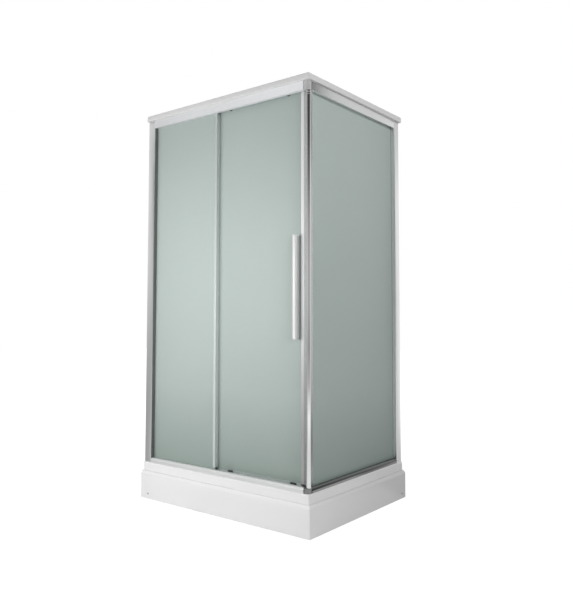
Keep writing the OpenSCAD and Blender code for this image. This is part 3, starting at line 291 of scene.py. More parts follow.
def calc(operation, *terms, kind="Math"):
    """Result of a Math node; each term is a socket or a plain value."""
    made = node(kind, tree_of(terms), operation=operation)
    for socket, term in zip(made.inputs, terms):
        feed(socket, term)
    return made.outputs["Value" if operation in ("LENGTH", "DOT_PRODUCT") else 0]


def times(a, b):
    return calc("MULTIPLY", a, b)


def vector(operation, *terms):
    """Result of the same for vectors."""
    return calc(operation, *terms, kind="VectorMath")


def coordinate(source, axis):
    return node("SeparateXYZ", Vector=source).outputs[axis]


def spread(value, low, high, to_low=0.0, to_high=1.0):
    """Value moved from one range to another and kept inside it."""
    return node("MapRange", Value=value, From_Min=low, From_Max=high, To_Min=to_low,
        To_Max=to_high).outputs["Result"]


def blend_colour(factor, *colours):
    """Mix of two colours, each a socket or a plain colour of three numbers."""
    made = node("Mix", tree_of((factor,) + colours), data_type="RGBA", Factor=factor)
    for socket, colour in zip([s for s in made.inputs if s.type == "RGBA"], colours):
        feed(socket, colour + (1,) if isinstance(colour, tuple) else colour)
    return [s for s in made.outputs if s.type == "RGBA"][0]


# Effects shared by several finishes

def new_group(name, takes, gives):
    """Empty shader group; takes and gives are the types of its named inputs and outputs."""
    made = bpy.data.node_groups.new(name, "ShaderNodeTree")
    for way, titles in (("INPUT", takes), ("OUTPUT", gives)):
        for title, kind in titles.items():
            made.interface.new_socket(title, in_out=way, socket_type="NodeSocket" + kind)
    return made, made.nodes.new("NodeGroupInput").outputs, made.nodes.new("NodeGroupOutput").inputs


def make_grain():
    """Fine surface grain, stretched along the way the piece was drawn or moulded."""
    g, i, o = new_group("fine_grain", dict(Vector="Vector", Stretch="Vector", Scale="Float",
            Coarse="Float"), dict(Height="Float", Tone="Float"))
    along = vector("MULTIPLY", i["Vector"], i["Stretch"])
    fine = node("TexNoise", Vector=along, Scale=i["Scale"], Detail=3.0, Roughness=0.6).outputs[0]
    broad = node("TexNoise", Vector=i["Vector"], Scale=i["Coarse"], Detail=2.0).outputs[0]
    feed(o["Height"], fine)
    feed(o["Tone"], spread(calc("ADD", fine, broad), 0.7, 1.3))
    return g


def make_marks():
    """Slight unevenness of colour and gloss from cleaning and dried water."""
    g, i, o = new_group("water_marks", dict(Vector="Vector", Colour="Color", Mark="Color", Amount="Float",
            Gloss="Float", Change="Float"),
        dict(Colour="Color", Roughness="Float"))
    cloud = node("TexNoise", Vector=i["Vector"], Scale=5.0, Detail=5.0, Roughness=0.62,
        Distortion=0.4).outputs[0]
    drops = node("TexVoronoi", Vector=i["Vector"], Scale=38.0).outputs["Distance"]
    cloud = times(spread(cloud, 0.48, 0.72), spread(drops, 0.1, 0.5, 0.6))
    share = times(cloud, i["Amount"])
    feed(o["Colour"], blend_colour(share, i["Colour"], i["Mark"]))
    feed(o["Roughness"], calc("MULTIPLY_ADD", cloud, i["Change"], i["Gloss"]))
    return g


def make_rub_and_highlight():
    """Edges a little lighter and smoother from the sharpness of the form: partly rub wear, partly a
    painted edge highlight.
    """
    g, i, o = new_group("rubbed_and_highlighted_edges", dict(Colour="Color", Edge="Color", Roughness="Float",
            Amount="Float"), dict(Colour="Color", Roughness="Float"))
    point = node("NewGeometry", g).outputs["Pointiness"]
    edge = times(spread(point, 0.515, 0.58), i["Amount"])
    feed(o["Colour"], blend_colour(edge, i["Colour"], i["Edge"]))
    less = times(edge, i["Roughness"])
    feed(o["Roughness"], calc("SUBTRACT", i["Roughness"], less))
    return g


GRAIN, MARKS, RUB_AND_HIGHLIGHT = make_grain(), make_marks(), make_rub_and_highlight()


def placed(group, **values):
    """Outputs of a shared effect placed in a finish with its own values."""
    made = tree_of(values.values()).nodes.new("ShaderNodeGroup")
    made.node_tree = group
    for title, value in values.items():
        feed(made.inputs[title], value)
    return made.outputs


def finish(slot, name, colour, gloss, metal=0.0, stretch=(1, 1, 1), grain=900.0, coarse=12.0,
        depth=10, tone=0.06, mark=(0.72, 0.72, 0.70), marks=0.08, change=0.06, edge=None,
        rub_and_highlight=0.25, extra=None, **plain):
    """Procedural finish: base colour with a fine tone from the grain, water marks, lighter edges that are
    partly rub wear and partly a painted edge highlight, and the grain as relief of a depth in micrometres.
    extra(where, colour, rough, height) may change colour, roughness and height before they reach the
    shader. plain sets the shader's other sockets.
    The slot is not used."""
    made = bpy.data.materials.new(name)
    made.use_nodes = True
    tree = made.node_tree
    where = node("TexCoord", tree).outputs["Object"]
    g = placed(GRAIN, Vector=where, Stretch=stretch, Scale=grain, Coarse=coarse)
    dark = tuple(c * (1 - tone) for c in colour)
    light = tuple(min(1, c * (1 + tone / 2)) for c in colour)
    m = placed(MARKS, Vector=where, Colour=blend_colour(g["Tone"], dark, light),
        Mark=mark + (1,), Amount=marks, Gloss=gloss, Change=change)
    base, rough, height = m["Colour"], m["Roughness"], g["Height"]
    if extra:
        base, rough, height = extra(where, base, rough, height)
    # lighter edges: partly rub wear, partly a painted edge highlight
    r = placed(RUB_AND_HIGHLIGHT, Colour=base, Roughness=rough, Amount=rub_and_highlight,
        Edge=(edge or tuple(min(1, c * 1.15 + 0.02) for c in colour)) + (1,))
    bump = node("Bump", Height=height, Distance=depth / 1e6, Strength=1.0)
    plain.update(Base_Color=r["Colour"], Roughness=r["Roughness"], Normal=bump.outputs["Normal"],
        Metallic=metal)
    for title, value in plain.items():
        feed(tree.nodes["Principled BSDF"].inputs[title.replace("_", " ")], value)
    return made


def inside_box(where, low, high, soft):
    """Mask that is 1 inside a box and falls to 0 within soft of its sides."""
    sides = []
    for axis, a, b in zip("XYZ", low, high):
        at = coordinate(where, axis)
        sides.append(times(spread(at, a - soft, a), spread(at, b, b + soft, 1.0, 0.0)))
    return times(times(sides[0], sides[1]), sides[2])


def anti_slip(where, colour, rough, height):
    """Round studs on the basin floor, set in straight rows: duller, with twice the grain's relief."""
    floor = inside_box(where, (-0.44, -0.28, 0.11), (0.40, 0.32, 0.1285), 0.012)
    flat = vector("MULTIPLY", where, (1.0, 1.0, 0.0))
    stud = node("TexVoronoi", Vector=flat, Scale=48.0, Randomness=0.0).outputs["Distance"]
    bead = times(spread(stud, 0.16, 0.30, 1.0, 0.0), floor)
    return (colour, calc("MULTIPLY_ADD", bead, 0.12, rough),
        calc("MULTIPLY_ADD", bead, height, height))


def pane_edges_and_foot_shade(where, colour, rough, height):
    """Painted shade: a pane darkens towards its foot. Where its surface looks up or down it is a cut
    edge, deeper green and polished, while the large faces keep the etched grain."""
    # painted shade: darker green-grey towards the foot of the pane
    low = spread(coordinate(where, "Z"), 0.22, 0.62, 0.72, 0.0)
    colour = blend_colour(low, colour, (0.36, 0.44, 0.40))
    normal = node("NewGeometry", where.id_data).outputs["Normal"]
    cut = spread(calc("ABSOLUTE", coordinate(normal, "Z")), 0.55, 0.8)
    return (blend_colour(cut, colour, (0.30, 0.42, 0.37)),
        times(rough, spread(cut, 0, 1, 1.0, 0.4)), height)


def chips(where, colour, rough, height):
    """Pressed wood chips: cells of several tones, with raised rims."""
    flat = vector("MULTIPLY", where, (1.0, 0.5, 3.0))
    cell = node("TexVoronoi", Vector=flat, Scale=190.0).outputs
    pick = node("SeparateColor", Color=cell["Color"]).outputs["Red"]
    tone = blend_colour(pick, (0.33, 0.21, 0.11), (0.66, 0.50, 0.32))
    return blend_colour(0.7, colour, tone), rough, cell["Distance"]


def spangle(where, colour, rough, height):
    """Crystals of a zinc coat: large cells, each a little lighter or darker and more or less smooth."""
    cell = node("TexVoronoi", Vector=where, Scale=110.0).outputs["Color"]
    pick = node("SeparateColor", Color=cell).outputs["Red"]
    tone = blend_colour(spread(pick, 0, 1, 0.0, 0.35), colour, (0.42, 0.43, 0.44))
    return tone, calc("MULTIPLY_ADD", pick, 0.14, rough), height


def thread(where, colour, rough, height):
    """Screw thread as relief: even waves up the rod, with painted shade in their hollows."""
    pitch = 0.00175
    turns = times(coordinate(where, "Z"), 2 * math.pi / pitch)
    wave = calc("SINE", turns)
    # painted shade in the hollows of the thread
    shade = spread(wave, -1, 0.4, 0.55, 0.0)
    return (blend_colour(shade, colour, (0.16, 0.16, 0.16)), rough,
        calc("MULTIPLY_ADD", wave, 20.0, height))


# Painted light and shade: the colour turns to another one between two places along an axis, in metres
def painted_light_along(low, high, shade, axis="Z"):
    def change(where, colour, rough, height):
        share = spread(coordinate(where, axis), low, high)
        return blend_colour(share, colour, shade), rough, height
    return change


# Finishes

UPRIGHT, ACROSS, DEEP = (1, 1, 0.006), (0.006, 1, 1), (1, 0.006, 1)
DARK_MARK = (0.12, 0.12, 0.12)
acrylic = partial(finish, "acrylic", colour=(0.80, 0.80, 0.798), gloss=0.17, grain=260, coarse=3, depth=12,
    tone=0.012, marks=0.05, change=0.08, IOR=1.49, Coat_Weight=0.25, Coat_Roughness=0.06)
brushed = partial(finish, "satin_aluminium", metal=1, grain=2400, depth=4, tone=0.07, coarse=5, marks=0.05)
bare = partial(brushed, colour=(0.80, 0.805, 0.81), edge=(0.9, 0.9, 0.9), rub_and_highlight=0.4)
# less metallic copies of the satin aluminium, each with its own painted light and shade
aluminium_lit_and_shaded_copies = partial(finish, "satin_aluminium", grain=1500, depth=0.5, tone=0.02, coarse=5, marks=0.01, rub_and_highlight=0)
plated = partial(finish, grain=700, marks=0.1)
vinyl = partial(finish, "clear_seal", gloss=0.28, grain=600, tone=0.03, marks=0.1, IOR=1.5)

tray_white = acrylic("tray_acrylic", extra=anti_slip)
# painted shade: the apron's side darkens towards the back
apron_painted_shade = acrylic("apron_acrylic", extra=painted_light_along(-0.35, 0.44, (0.65, 0.65, 0.648), "Y"))
# painted shade: a greyer copy of the tray's white acrylic for the roof
roof_shaded_copy = finish("acrylic", "roof_acrylic_shaded_copy", (0.635, 0.635, 0.635), 0.3, grain=420, coarse=2.5,
    depth=20, tone=0.015, marks=0.06, change=0.1, IOR=1.5)
panel_white = finish("wall_panel", "wall_panel_sheet", (0.76, 0.77, 0.768), 0.2, grain=180, coarse=2,
    tone=0.012, marks=0.07, change=0.1, IOR=1.5)
satin_upright = bare("satin_aluminium_upright", gloss=0.34, stretch=UPRIGHT)
satin_across = bare("satin_aluminium_across", gloss=0.34, stretch=ACROSS)
satin_deep = bare("satin_aluminium_deep", gloss=0.24, stretch=DEEP)
# painted reflection: a darkened copy of the satin aluminium, near black on the rail's upper slope
low_side_rail_painted_reflection = brushed("dim_aluminium_deep", (0.28, 0.285, 0.28), 0.22, stretch=DEEP,
    extra=painted_light_along(0.2005, 0.2025, (0.05, 0.054, 0.052)))
# painted shade: a darkened copy of the satin aluminium, darkest towards the foot of the channel
channel_painted_shade = brushed("dim_aluminium_upright", (0.26, 0.27, 0.265), 0.3, stretch=UPRIGHT,
    extra=painted_light_along(0.25, 0.9, (0.52, 0.525, 0.53)))
# painted light: a paler, less metallic copy of the satin aluminium for the bottom front rail
bottom_rail_lit_copy = aluminium_lit_and_shaded_copies("pale_anodised_across", (0.74, 0.75, 0.745), 0.34, 0.45, ACROSS)
# painted light: darker at the left end, lighter towards the right
top_rail_painted_light = aluminium_lit_and_shaded_copies("pale_anodised_top", (0.63, 0.637, 0.645), 0.34, 0.15, ACROSS,
    extra=painted_light_along(-0.5, 0.4, (0.80, 0.81, 0.825), "X"))
# painted reflection and shade: darker towards the foot of the door profile
door_profile_painted_shade = aluminium_lit_and_shaded_copies("pale_anodised_upright", (0.39, 0.395, 0.39), 0.4, 0.1, UPRIGHT,
    extra=painted_light_along(0.45, 1.05, (0.80, 0.805, 0.81)))
# painted reflection and shade: darker towards the foot of the left post
left_post_painted_shade = aluminium_lit_and_shaded_copies("satin_aluminium_left", (0.72, 0.725, 0.73), 0.34, 1, UPRIGHT,
    extra=painted_light_along(0.3, 1.9, (0.94, 0.945, 0.95)))
# painted light: lighter towards the foot of the right post
right_post_painted_light = aluminium_lit_and_shaded_copies("bright_anodised_upright", (0.95, 0.95, 0.95), 0.34, 1, UPRIGHT,
    extra=painted_light_along(0.4, 1.1, (0.845, 0.85, 0.855)))
chrome = finish("chrome", "polished_chrome", (0.84, 0.85, 0.86), 0.05, 1, grain=300, coarse=9, depth=1,
    tone=0.02, mark=(0.55, 0.56, 0.56), marks=0.12, change=0.12, edge=(0.92, 0.92, 0.92))
# painted highlight: a whiter, less metallic copy of the chrome for the handle
handle_lit_copy = finish("chrome", "handle_chrome_lit_copy", (0.95, 0.95, 0.945), 0.14, 0.32, (1, 1, 0.01),
    grain=2000, depth=2, tone=0.03, coarse=6, marks=0.06, change=0.08)
# painted shade: the chrome caps darkened where they sit in shadow under the rail
roller_caps_painted_shade = plated("chrome", "dark_plated_cap", (0.11, 0.112, 0.112), 0.22, 1, depth=2, change=0.1)
waste_steel = finish("chrome", "brushed_steel", (0.66, 0.66, 0.65), 0.26, 1, (0.02, 1, 1), grain=1800,
    depth=4, tone=0.1)
joint_grey = plated("joint_plastic", "plated_joint", (0.62, 0.625, 0.63), 0.36, 0.5, depth=4,
    tone=0.05, change=0.08)
# painted shade: a darkened copy of the joint's plating for the low joint
low_joint_painted_shade = plated("joint_plastic", "dark_plated_joint", (0.26, 0.265, 0.265), 0.26, 1,
    depth=4, tone=0.08, change=0.08)
satin_glass = finish("frosted_glass", "satin_glass", (0.54, 0.612, 0.588), 0.5, grain=3200, coarse=1.2,
    depth=20, tone=0.02, mark=(0.68, 0.72, 0.70), marks=0.07, change=0.04, rub_and_highlight=0,
    extra=pane_edges_and_foot_shade, IOR=1.5, Transmission_Weight=0.35)
# painted shade: darker towards the top
milky_vinyl = vinyl("milky_vinyl", (0.68, 0.73, 0.715), Alpha=0.74,
    extra=painted_light_along(1, 1.7, (0.50, 0.55, 0.535)))
clear_vinyl = vinyl("clear_vinyl", (0.66, 0.73, 0.71), Alpha=0.42)
dark_vinyl = finish("grey_seal", "dark_vinyl", (0.115, 0.128, 0.120), 0.5, grain=700, depth=20,
    tone=0.12, marks=0.12, mark=(0.3, 0.31, 0.3))
# painted shade: darker towards the foot
magnet_vinyl_painted_shade = finish("grey_seal", "magnet_vinyl_painted_shade", (0.28, 0.285, 0.28), 0.36, grain=700, depth=20, tone=0.1,
    marks=0.1, mark=(0.4, 0.41, 0.4), extra=painted_light_along(0.3, 0.95, (0.58, 0.59, 0.585)))
black_rubber = finish("black_rubber", "black_rubber", (0.028, 0.028, 0.028), 0.62, depth=40, tone=0.3,
    marks=0.2, mark=DARK_MARK)
dark_plastic = finish("dark_plastic", "dark_moulding", (0.05, 0.051, 0.052), 0.42, grain=1300,
    depth=30, tone=0.2, marks=0.12, mark=(0.16, 0.16, 0.16))
nylon = finish("wheel_nylon", "wheel_nylon", (0.70, 0.70, 0.66), 0.4, grain=800, tone=0.04, marks=0.15,
    mark=(0.45, 0.43, 0.4), Subsurface_Weight=0.1, Subsurface_Scale=0.003)
pipe_white = finish("pipe_plastic", "pipe_moulding", (0.68, 0.68, 0.665), 0.42, grain=500, depth=20,
    tone=0.05, marks=0.15)
tube_paint = finish("steel_tube", "tube_paint", (0.20, 0.21, 0.22), 0.42, grain=650, coarse=20,
    depth=50, tone=0.12, marks=0.15, mark=(0.3, 0.3, 0.3), Coat_Weight=0.1)
zinc = finish("zinc", "zinc_plating", (0.60, 0.61, 0.60), 0.3, 1, grain=800, tone=0.08, extra=spangle)
zinc_thread = finish("zinc", "zinc_thread", (0.58, 0.59, 0.58), 0.3, 1, depth=20, extra=thread)
screw_black = finish("dark_screw", "blackened_screw", (0.03, 0.03, 0.031), 0.4, tone=0.2, marks=0.1,
    mark=DARK_MARK)
chipboard = finish("board", "pressed_chips", (0.46, 0.33, 0.20), 0.8, depth=300, tone=0.15, marks=0.2,
    extra=chips)


# The tray, its apron and the roof

def tray_ring(front_in, wall_in, z, corner_r=8.0):
    """Outline of the tray drawn in by front_in on its two open sides and by wall_in at the walls."""
    return plan_ring(LEFT + wall_in, TRAY_FRONT + front_in, TRAY_RIGHT - front_in, BACK - wall_in,
        (2.0, corner_r, 2.0, 2.0), z)


def basin_ring(grow, z):
    """Outline of the basin at the rim, with 80 mm corners, moved outwards by grow."""
    return plan_ring(-510.5 - grow, -346.0 - grow, 465.5 + grow, 380.0 + grow,
        max(80.0 + grow, 14.0), z)


def drain_rings(outline, r, z_from, z_to, shares):
    """Rings between an outline and a circle round the drain: each point goes straight from the outline
    towards the point of the circle in the same direction from the drain, by the given shares."""
    centre = np.array([DRAIN_X, DRAIN_Y])
    away = outline[:, :2] - centre
    ring = centre + r * away / np.linalg.norm(away, axis=1)[:, None]
    f = np.asarray(shares)[:, None, None]
    flat = outline[None, :, :2] * (1 - f) + ring[None] * f
    z = z_from + (z_to - z_from) * f * np.ones(flat.shape[:2] + (1,))
    return list(np.concatenate([flat, z], -1))


def tray():
    """Basin, rim and lip as one skin: from the lip's lower edge up its face, over the rim, down the
    sloping wall with its quarter-round foot, along the falling floor to the drain seat, and back along
    the underside one wall thickness lower."""
    slope, bend, floor, thick = 16.5, 18, 126.0, 4
    foot = np.radians([0, 18, 36, 54, 72, 90])
    wall, low = slope + bend * (1 - np.cos(foot)), floor + bend * (1 - np.sin(foot))
    inner, under = slope + bend, slope + bend - thick
    lip = np.radians([0, 20, 40, 60, 80, 90])
    rings = [tray_ring(18.9, 0.8, 147.0), tray_ring(18.0, 0.0, 147.9), tray_ring(19.6, 0.0, 180.0)]
    rings += [tray_ring(19.9 + 5 * (1 - np.cos(t)), 2 * (1 - np.cos(t)), 187 + 5 * np.sin(t)) for t in lip]
    rings += [basin_ring(9 - 9 * np.sin(t), RIM - 6.5 * (1 - np.cos(t))) for t in lip]
    rings += [basin_ring(-i, z) for i, z in zip(wall, low)]
    rings += drain_rings(basin_ring(-inner, floor), 64.0, floor, 120.0, (0.12, 0.3, 0.5, 0.7, 0.86, 0.96, 1))
    seat = basin_ring(-inner, 118.0)
    for r, z in ((59.0, 119.9), (58.0, 119.2), (57.6, 118.0), (46.0, 118.0), (45.0, 117.2), (45.0, 114.0),
            (61.0, 114.0)):
        rings += drain_rings(seat, r, z, z, (1,))
    rings += drain_rings(basin_ring(-under, 122.0), 66.0, 122.0, 116.0, (0.98, 0.7, 0.35, 0.12))
    rings += [basin_ring(thick - i, z - thick) for i, z in zip(wall[::-1], low[::-1])]
    rings += [basin_ring(4.5, 186.0), basin_ring(6.0, 188.0)]
    rings += [tray_ring(26.0, 5.0, 188.0, 4.0), tray_ring(24.0, 4.0, 186.0, 5.0),
        tray_ring(22.0, 4.0, 148.0, 5.0), tray_ring(21.2, 3.2, 147.0, 5.5)]
    skin("tray_shell", np.stack(rings), tray_white, "tray", wrap=True)


def apron():
    """Section carried round the two open sides. At each station of the path a point of the section
    stands inward from the outer face by its first value, at the height of its second; the corner is a
    quarter circle, and the shoulder is a quarter of an ellipse. Its outer points stand 0.35 mm back."""
    out = arc(17.5, 126, -17.5, 21, 0, 90, 12)
    inner = out[::-1] + [4, -4]
    flange = [[25, 146.8], [25, 168.4], [25.6, 169], [28.4, 169], [29, 168.4], [29, 143]]
    section = np.concatenate([[[0.8, 2.0], [0.0, 2.8]], out, flange, inner, [[4, 2.8], [3.2, 2.0]]])
    section[:2 + len(out), 0] += 0.35
    d = section[:, 0]
    ease = 0.8 * (d < 1)
    r = 5.0
    xs = [LEFT + 0 * d, LEFT + 1.0 + 0 * d, LEFT + 300 + 0 * d]
    ys = [TRAY_FRONT + d + ease, TRAY_FRONT + d, TRAY_FRONT + d]
    for x, y in arc(TRAY_RIGHT - r, TRAY_FRONT + r, r, -r, 90, 0, 9):
        xs.append(x - d)
        ys.append(y + d)
    xs += [TRAY_RIGHT - d, TRAY_RIGHT - d, TRAY_RIGHT - d - ease]
    ys += [BACK - 300 + 0 * d, BACK - 1.0 + 0 * d, BACK + 0 * d]
    rings = np.stack([np.stack([x, y, section[:, 1]], 1) for x, y in zip(xs, ys)])
    skin("apron_shell", rings, apron_painted_shade, "apron", sharp=30)


def roof():
    """Rings at a given inset and height: raised panel, its gentle fall, quarter-round nose, upright
    band with a drawn-in foot, flange on the rails, and the same form one skin lower underneath."""
    nose = arc(8, 2128, -8, 8, 80, 0, 9)
    under = nose[::-1] + [4, -4]
    top = [[300, TOP], [124, TOP], [118, 2149.8], [108, 2149.1], [90, 2147.6], [40, 2141.2], [14, 2137.4]]
    foot = [[0, 2111.5], [0.3, 2108.5], [1.5, 2106.3], [3.8, 2105.1], [5, ROOF], [45.2, ROOF],
        [46, 2105.8], [46, 2108.2], [45.2, 2109], [7.5, 2109], [5, 2110], [4, 2112.5]]
    path = np.concatenate([top, nose, foot, under, [[14, 2133.4], [90, 2143.6], [118, 2145.8], [300, 2146]]])
    xa, xb, ya, yb = LEFT - 9, RIGHT + 12, FRONT - 12, BACK + 20
    rings = [plan_ring(xa + t, ya + t, xb - t, yb - t, max(12 - t, 3.0), z) for t, z in path]
    skin("roof_shell", np.stack(rings), roof_shaded_copy, "roof", sharp=30)


# The aluminium frame

def posts():
    """Posts with a groove for the glass at the far edge of the face and one for the wall panel in the
    rear; the right one is turned round, so that its face stands along Y instead of X."""
    large = rounded([[0, 0, 3], [48, 0, 3], [48, 21.7, 0.6], [25, 21.7, 0.4], [25, 27.3, 0.4],
            [48, 27.3, 0.6], [48, 30, 0.8], [9.3, 30, 0.6], [9.3, 12, 0.4], [4.7, 12, 0.4],
            [4.7, 30, 0.6], [0, 30, 0.8]], steps=5)
    small = rounded([[0, 0], [0, -30], [4.7, -30], [4.7, -12], [9.3, -12], [9.3, -30], [30, -30],
            [30, -9.3], [12, -9.3], [12, -4.7], [30, -4.7], [30, 0]], 0.6)
    for name, outline, made, node_name in (
            ("left_post", [LEFT, FRONT] + large, left_post_painted_shade, "post_front_left"),
            ("right_post", [RIGHT, BACK] - large[:, ::-1], right_post_painted_light, "post_back_right"),
            ("rear_post", [LEFT, BACK] + small, satin_upright, "post_back_left")):
        skin(name, run(outline, "z", RIM, ROOF), made, node_name)


# Sections of the rails as [depth behind the face, height above the rail's foot, corner radius]
TOP_FACE = [[0, 43, 0.5], [0, 0, 1.2], [21.7, 0, 0.6], [21.7, 40.5, 0.3], [27.3, 40.5, 0.3]]
TOP_FRONT = TOP_FACE + [[27.3, 8, 0.5], [30.3, 8, 0.5], [30.3, 40.5, 0.4], [73.8, 40.5, 0.4],
    [73.8, 2.2, 0.3], [59.2, 2.2, 0.3], [59.2, 8.2, 1.1], [56.8, 8.2, 1.1],
    [56.8, 2.2, 0.3], [54, 2.2, 0.4], [54, 0, 0.4], [76, 0, 0.8], [76, 43, 0.5]]
TOP_SIDE = TOP_FACE + [[27.3, 0, 0.5], [30, 0, 0.8], [30, 43, 0.5]]
LOW_FACE = [[27.3, 22, 0.5], [27.3, 6, 0.3], [21.7, 6, 0.3], [21.7, 24, 0.6], [7, 24, 1.4],
    [0.6, 14.6, 1.6], [0, 13, 0.8], [0, 0, 0.3]]
LOW_SIDE = [[30, 0, 0.3], [30, 22, 0.6]] + LOW_FACE
LOW_FRONT = [[76, 0, 0.5], [76, 22, 0.5], [73.8, 22, 0.5], [73.8, 2.5, 0.4], [59.2, 2.5, 0.3],
    [59.2, 12, 1.15], [56.8, 12, 1.15], [56.8, 2.5, 0.3], [30.3, 2.5, 0.4], [30.3, 22, 0.5]] + LOW_FACE


def close_points(outline, step=2.0):
    """Outline with further points along its long sides, none further apart than the step: places at
    the corners' lengths along the outline and at even lengths between, in order."""
    closed = np.concatenate([outline, outline[:1]])
    length = np.concatenate([[0], np.cumsum(np.linalg.norm(np.diff(closed, axis=0), axis=1))])
    at = np.union1d(length[:-1], np.arange(0, length[-1], step))
    return np.stack([np.interp(at, length, closed[:, k]) for k in (0, 1)], 1)


def cut_round(ends, across, along, way):
    """A rail's end rings cut round the corner joint: at the joint's centre, plus or minus the square
    root of the clearance radius squared less the distance from the centre squared."""
    off = JOINT_CLEAR ** 2 - (ends[..., across] - (JOINT_X, JOINT_Y)[across]) ** 2
    round_end = (JOINT_X, JOINT_Y)[along] + way * np.sqrt(np.maximum(off, 0))
    kept = (np.minimum if way < 0 else np.maximum)(ends[..., along], round_end)
    ends[..., along] = np.where(off > 0, kept, ends[..., along])


def upright(depth_at, way, foot, flat):
    """Rail section set up: its depth from a face, towards + or -, and its height from the foot."""
    return np.stack([depth_at + way * flat[:, 0], foot + flat[:, 1]], 1)


def rails():
    """Front rails, cut round the joint at their right end and longer behind the left post; side rails,
    cut round it at their front end; plain rails along the walls."""
    for level, foot, front, made, side, side_made in (
            ("top", RAIL, TOP_FRONT, top_rail_painted_light, TOP_SIDE, satin_deep),
            ("bottom", RIM, LOW_FRONT, bottom_rail_lit_copy, LOW_SIDE, low_side_rail_painted_reflection)):
        flat = close_points(rounded(front))
        rings = run(upright(FRONT, 1, foot, flat), "x", LEFT + 48, RIGHT - 30, 0.3)
        cut_round(rings[-4:], 1, 0, -1)
        rings[:4, :, 0] -= np.where(rings[:4, :, 1] > FRONT + 30.5, 24.0, 0.0)
        skin(level + "_front_rail", rings, made, "rail_" + level + "_front", sharp=30)
        flat = close_points(rounded(side))
        rings = run(upright(RIGHT, -1, foot, flat), "y", FRONT + 30, BACK - 48, 0.3)
        cut_round(rings[:4], 0, 1, 1)
        skin(level + "_side_rail", rings, side_made, "rail_" + level + "_side", sharp=30)
    high = [[0, 0], [4.7, 0], [4.7, 33], [9.3, 33], [9.3, 0], [24, 0], [24, 43], [0, 43]]
    low = [[0, 0], [24, 0], [24, 30], [9.3, 30], [9.3, 3], [4.7, 3], [4.7, 30], [0, 30]]
    for title, section, foot, node_name in (("high", high, RAIL, "wall_rails_top"),
            ("low", low, RIM, "wall_rails_bottom")):
        flat = rounded(section, 0.6)
        skin(title + "_back_rail", run(upright(BACK, -1, foot, flat), "x", LEFT + 30, RIGHT - 30, 0.3),
            satin_across, node_name)
        skin(title + "_left_rail", run(upright(LEFT, 1, foot, flat), "y", FRONT + 76, BACK - 30, 0.3),
            satin_deep, node_name)


def corner():
    """Round post with a grooved ferrule at each end, the channel behind it and its magnet seat, and
    the round joints above and below."""
    at = (POST_X, POST_Y, 0)
    post = turned([[0, SILL], [POST_R, SILL], [POST_R, RAIL], [0, RAIL]], at, around=96)
    ring = rounded([[8.5, 0, 0.2], [11, 0, 1.2], [11, 9, 0.9], [10.3, 9, 0.2], [10.3, 13, 0.2],
            [11, 13, 0.9], [11, 22, 1.2], [8.5, 22, 0.2]], steps=5)
    skin("corner_post", post, chrome, "post_corner")
    skin("corner_ferrules", [turned(ring + [0, foot], at, around=96) for foot in (SILL, RAIL - 22)],
        chrome, wrap=True)
    legs = [[524.5, -412], [540, -412], [540, -405], [535.8, -405], [535.8, -376], [532.8, -376],
        [532.8, -405], [527.2, -405], [527.2, -382], [512.5, -382], [512.5, -384.8], [516.4, -384.8],
        [516.4, -391.2], [512.5, -391.2], [512.5, -394], [524.5, -394]]
    skin("corner_channel", run(rounded(legs, 0.6), "z", SILL, RAIL), channel_painted_shade)
    for title, made, a, b, arm_a, arm_b in (("top", joint_grey, RAIL, ROOF, 2086, 2101),
            ("low", low_joint_painted_shade, RIM, SILL, 196, 203)):
        shells = [rod(JOINT_R, a, b, 0.8, (JOINT_X, JOINT_Y, 0), around=96, steps=5)]
        for corners in (rect(500.5, -431.8, 535.5, -419), rect(538.5, -416, 551.3, -381)):
            shells.append(run(rounded(corners, 0.8), "z", arm_a, arm_b, 0.4))
        skin("corner_joint_" + title, shells, made, "corner_joints")


# Glass, seals and wall panels

def glazing():
    """Upright sheets with all their edges ground round."""
    for name, node_name, made, corners, za, zb, body in (
            ("fixed_pane", "glass_fixed", satin_glass, rect(-544.5, -413, -53.5, -408), 198, 2098, "cabin"),
            ("side_pane", "glass_side", satin_glass, rect(527.5, -405, 532.5, 414), 198, 2098, "cabin"),
            ("door_pane", "glass_door", satin_glass, rect(-79.5, -391, 496.5, -386), 219, 2094, "door"),
            ("left_wall_panel", "wall_left", panel_white, rect(-565.5, -421, -561.5, 426), 195, 2095,
             "cabin"),
            ("back_wall_panel", "wall_back", panel_white, rect(-556.5, 431, 540.5, 435), 195, 2095,
             "cabin")):
        skin(name, run(rounded(corners, 1.0), "z", za, zb, 1.0), made, node_name, body)


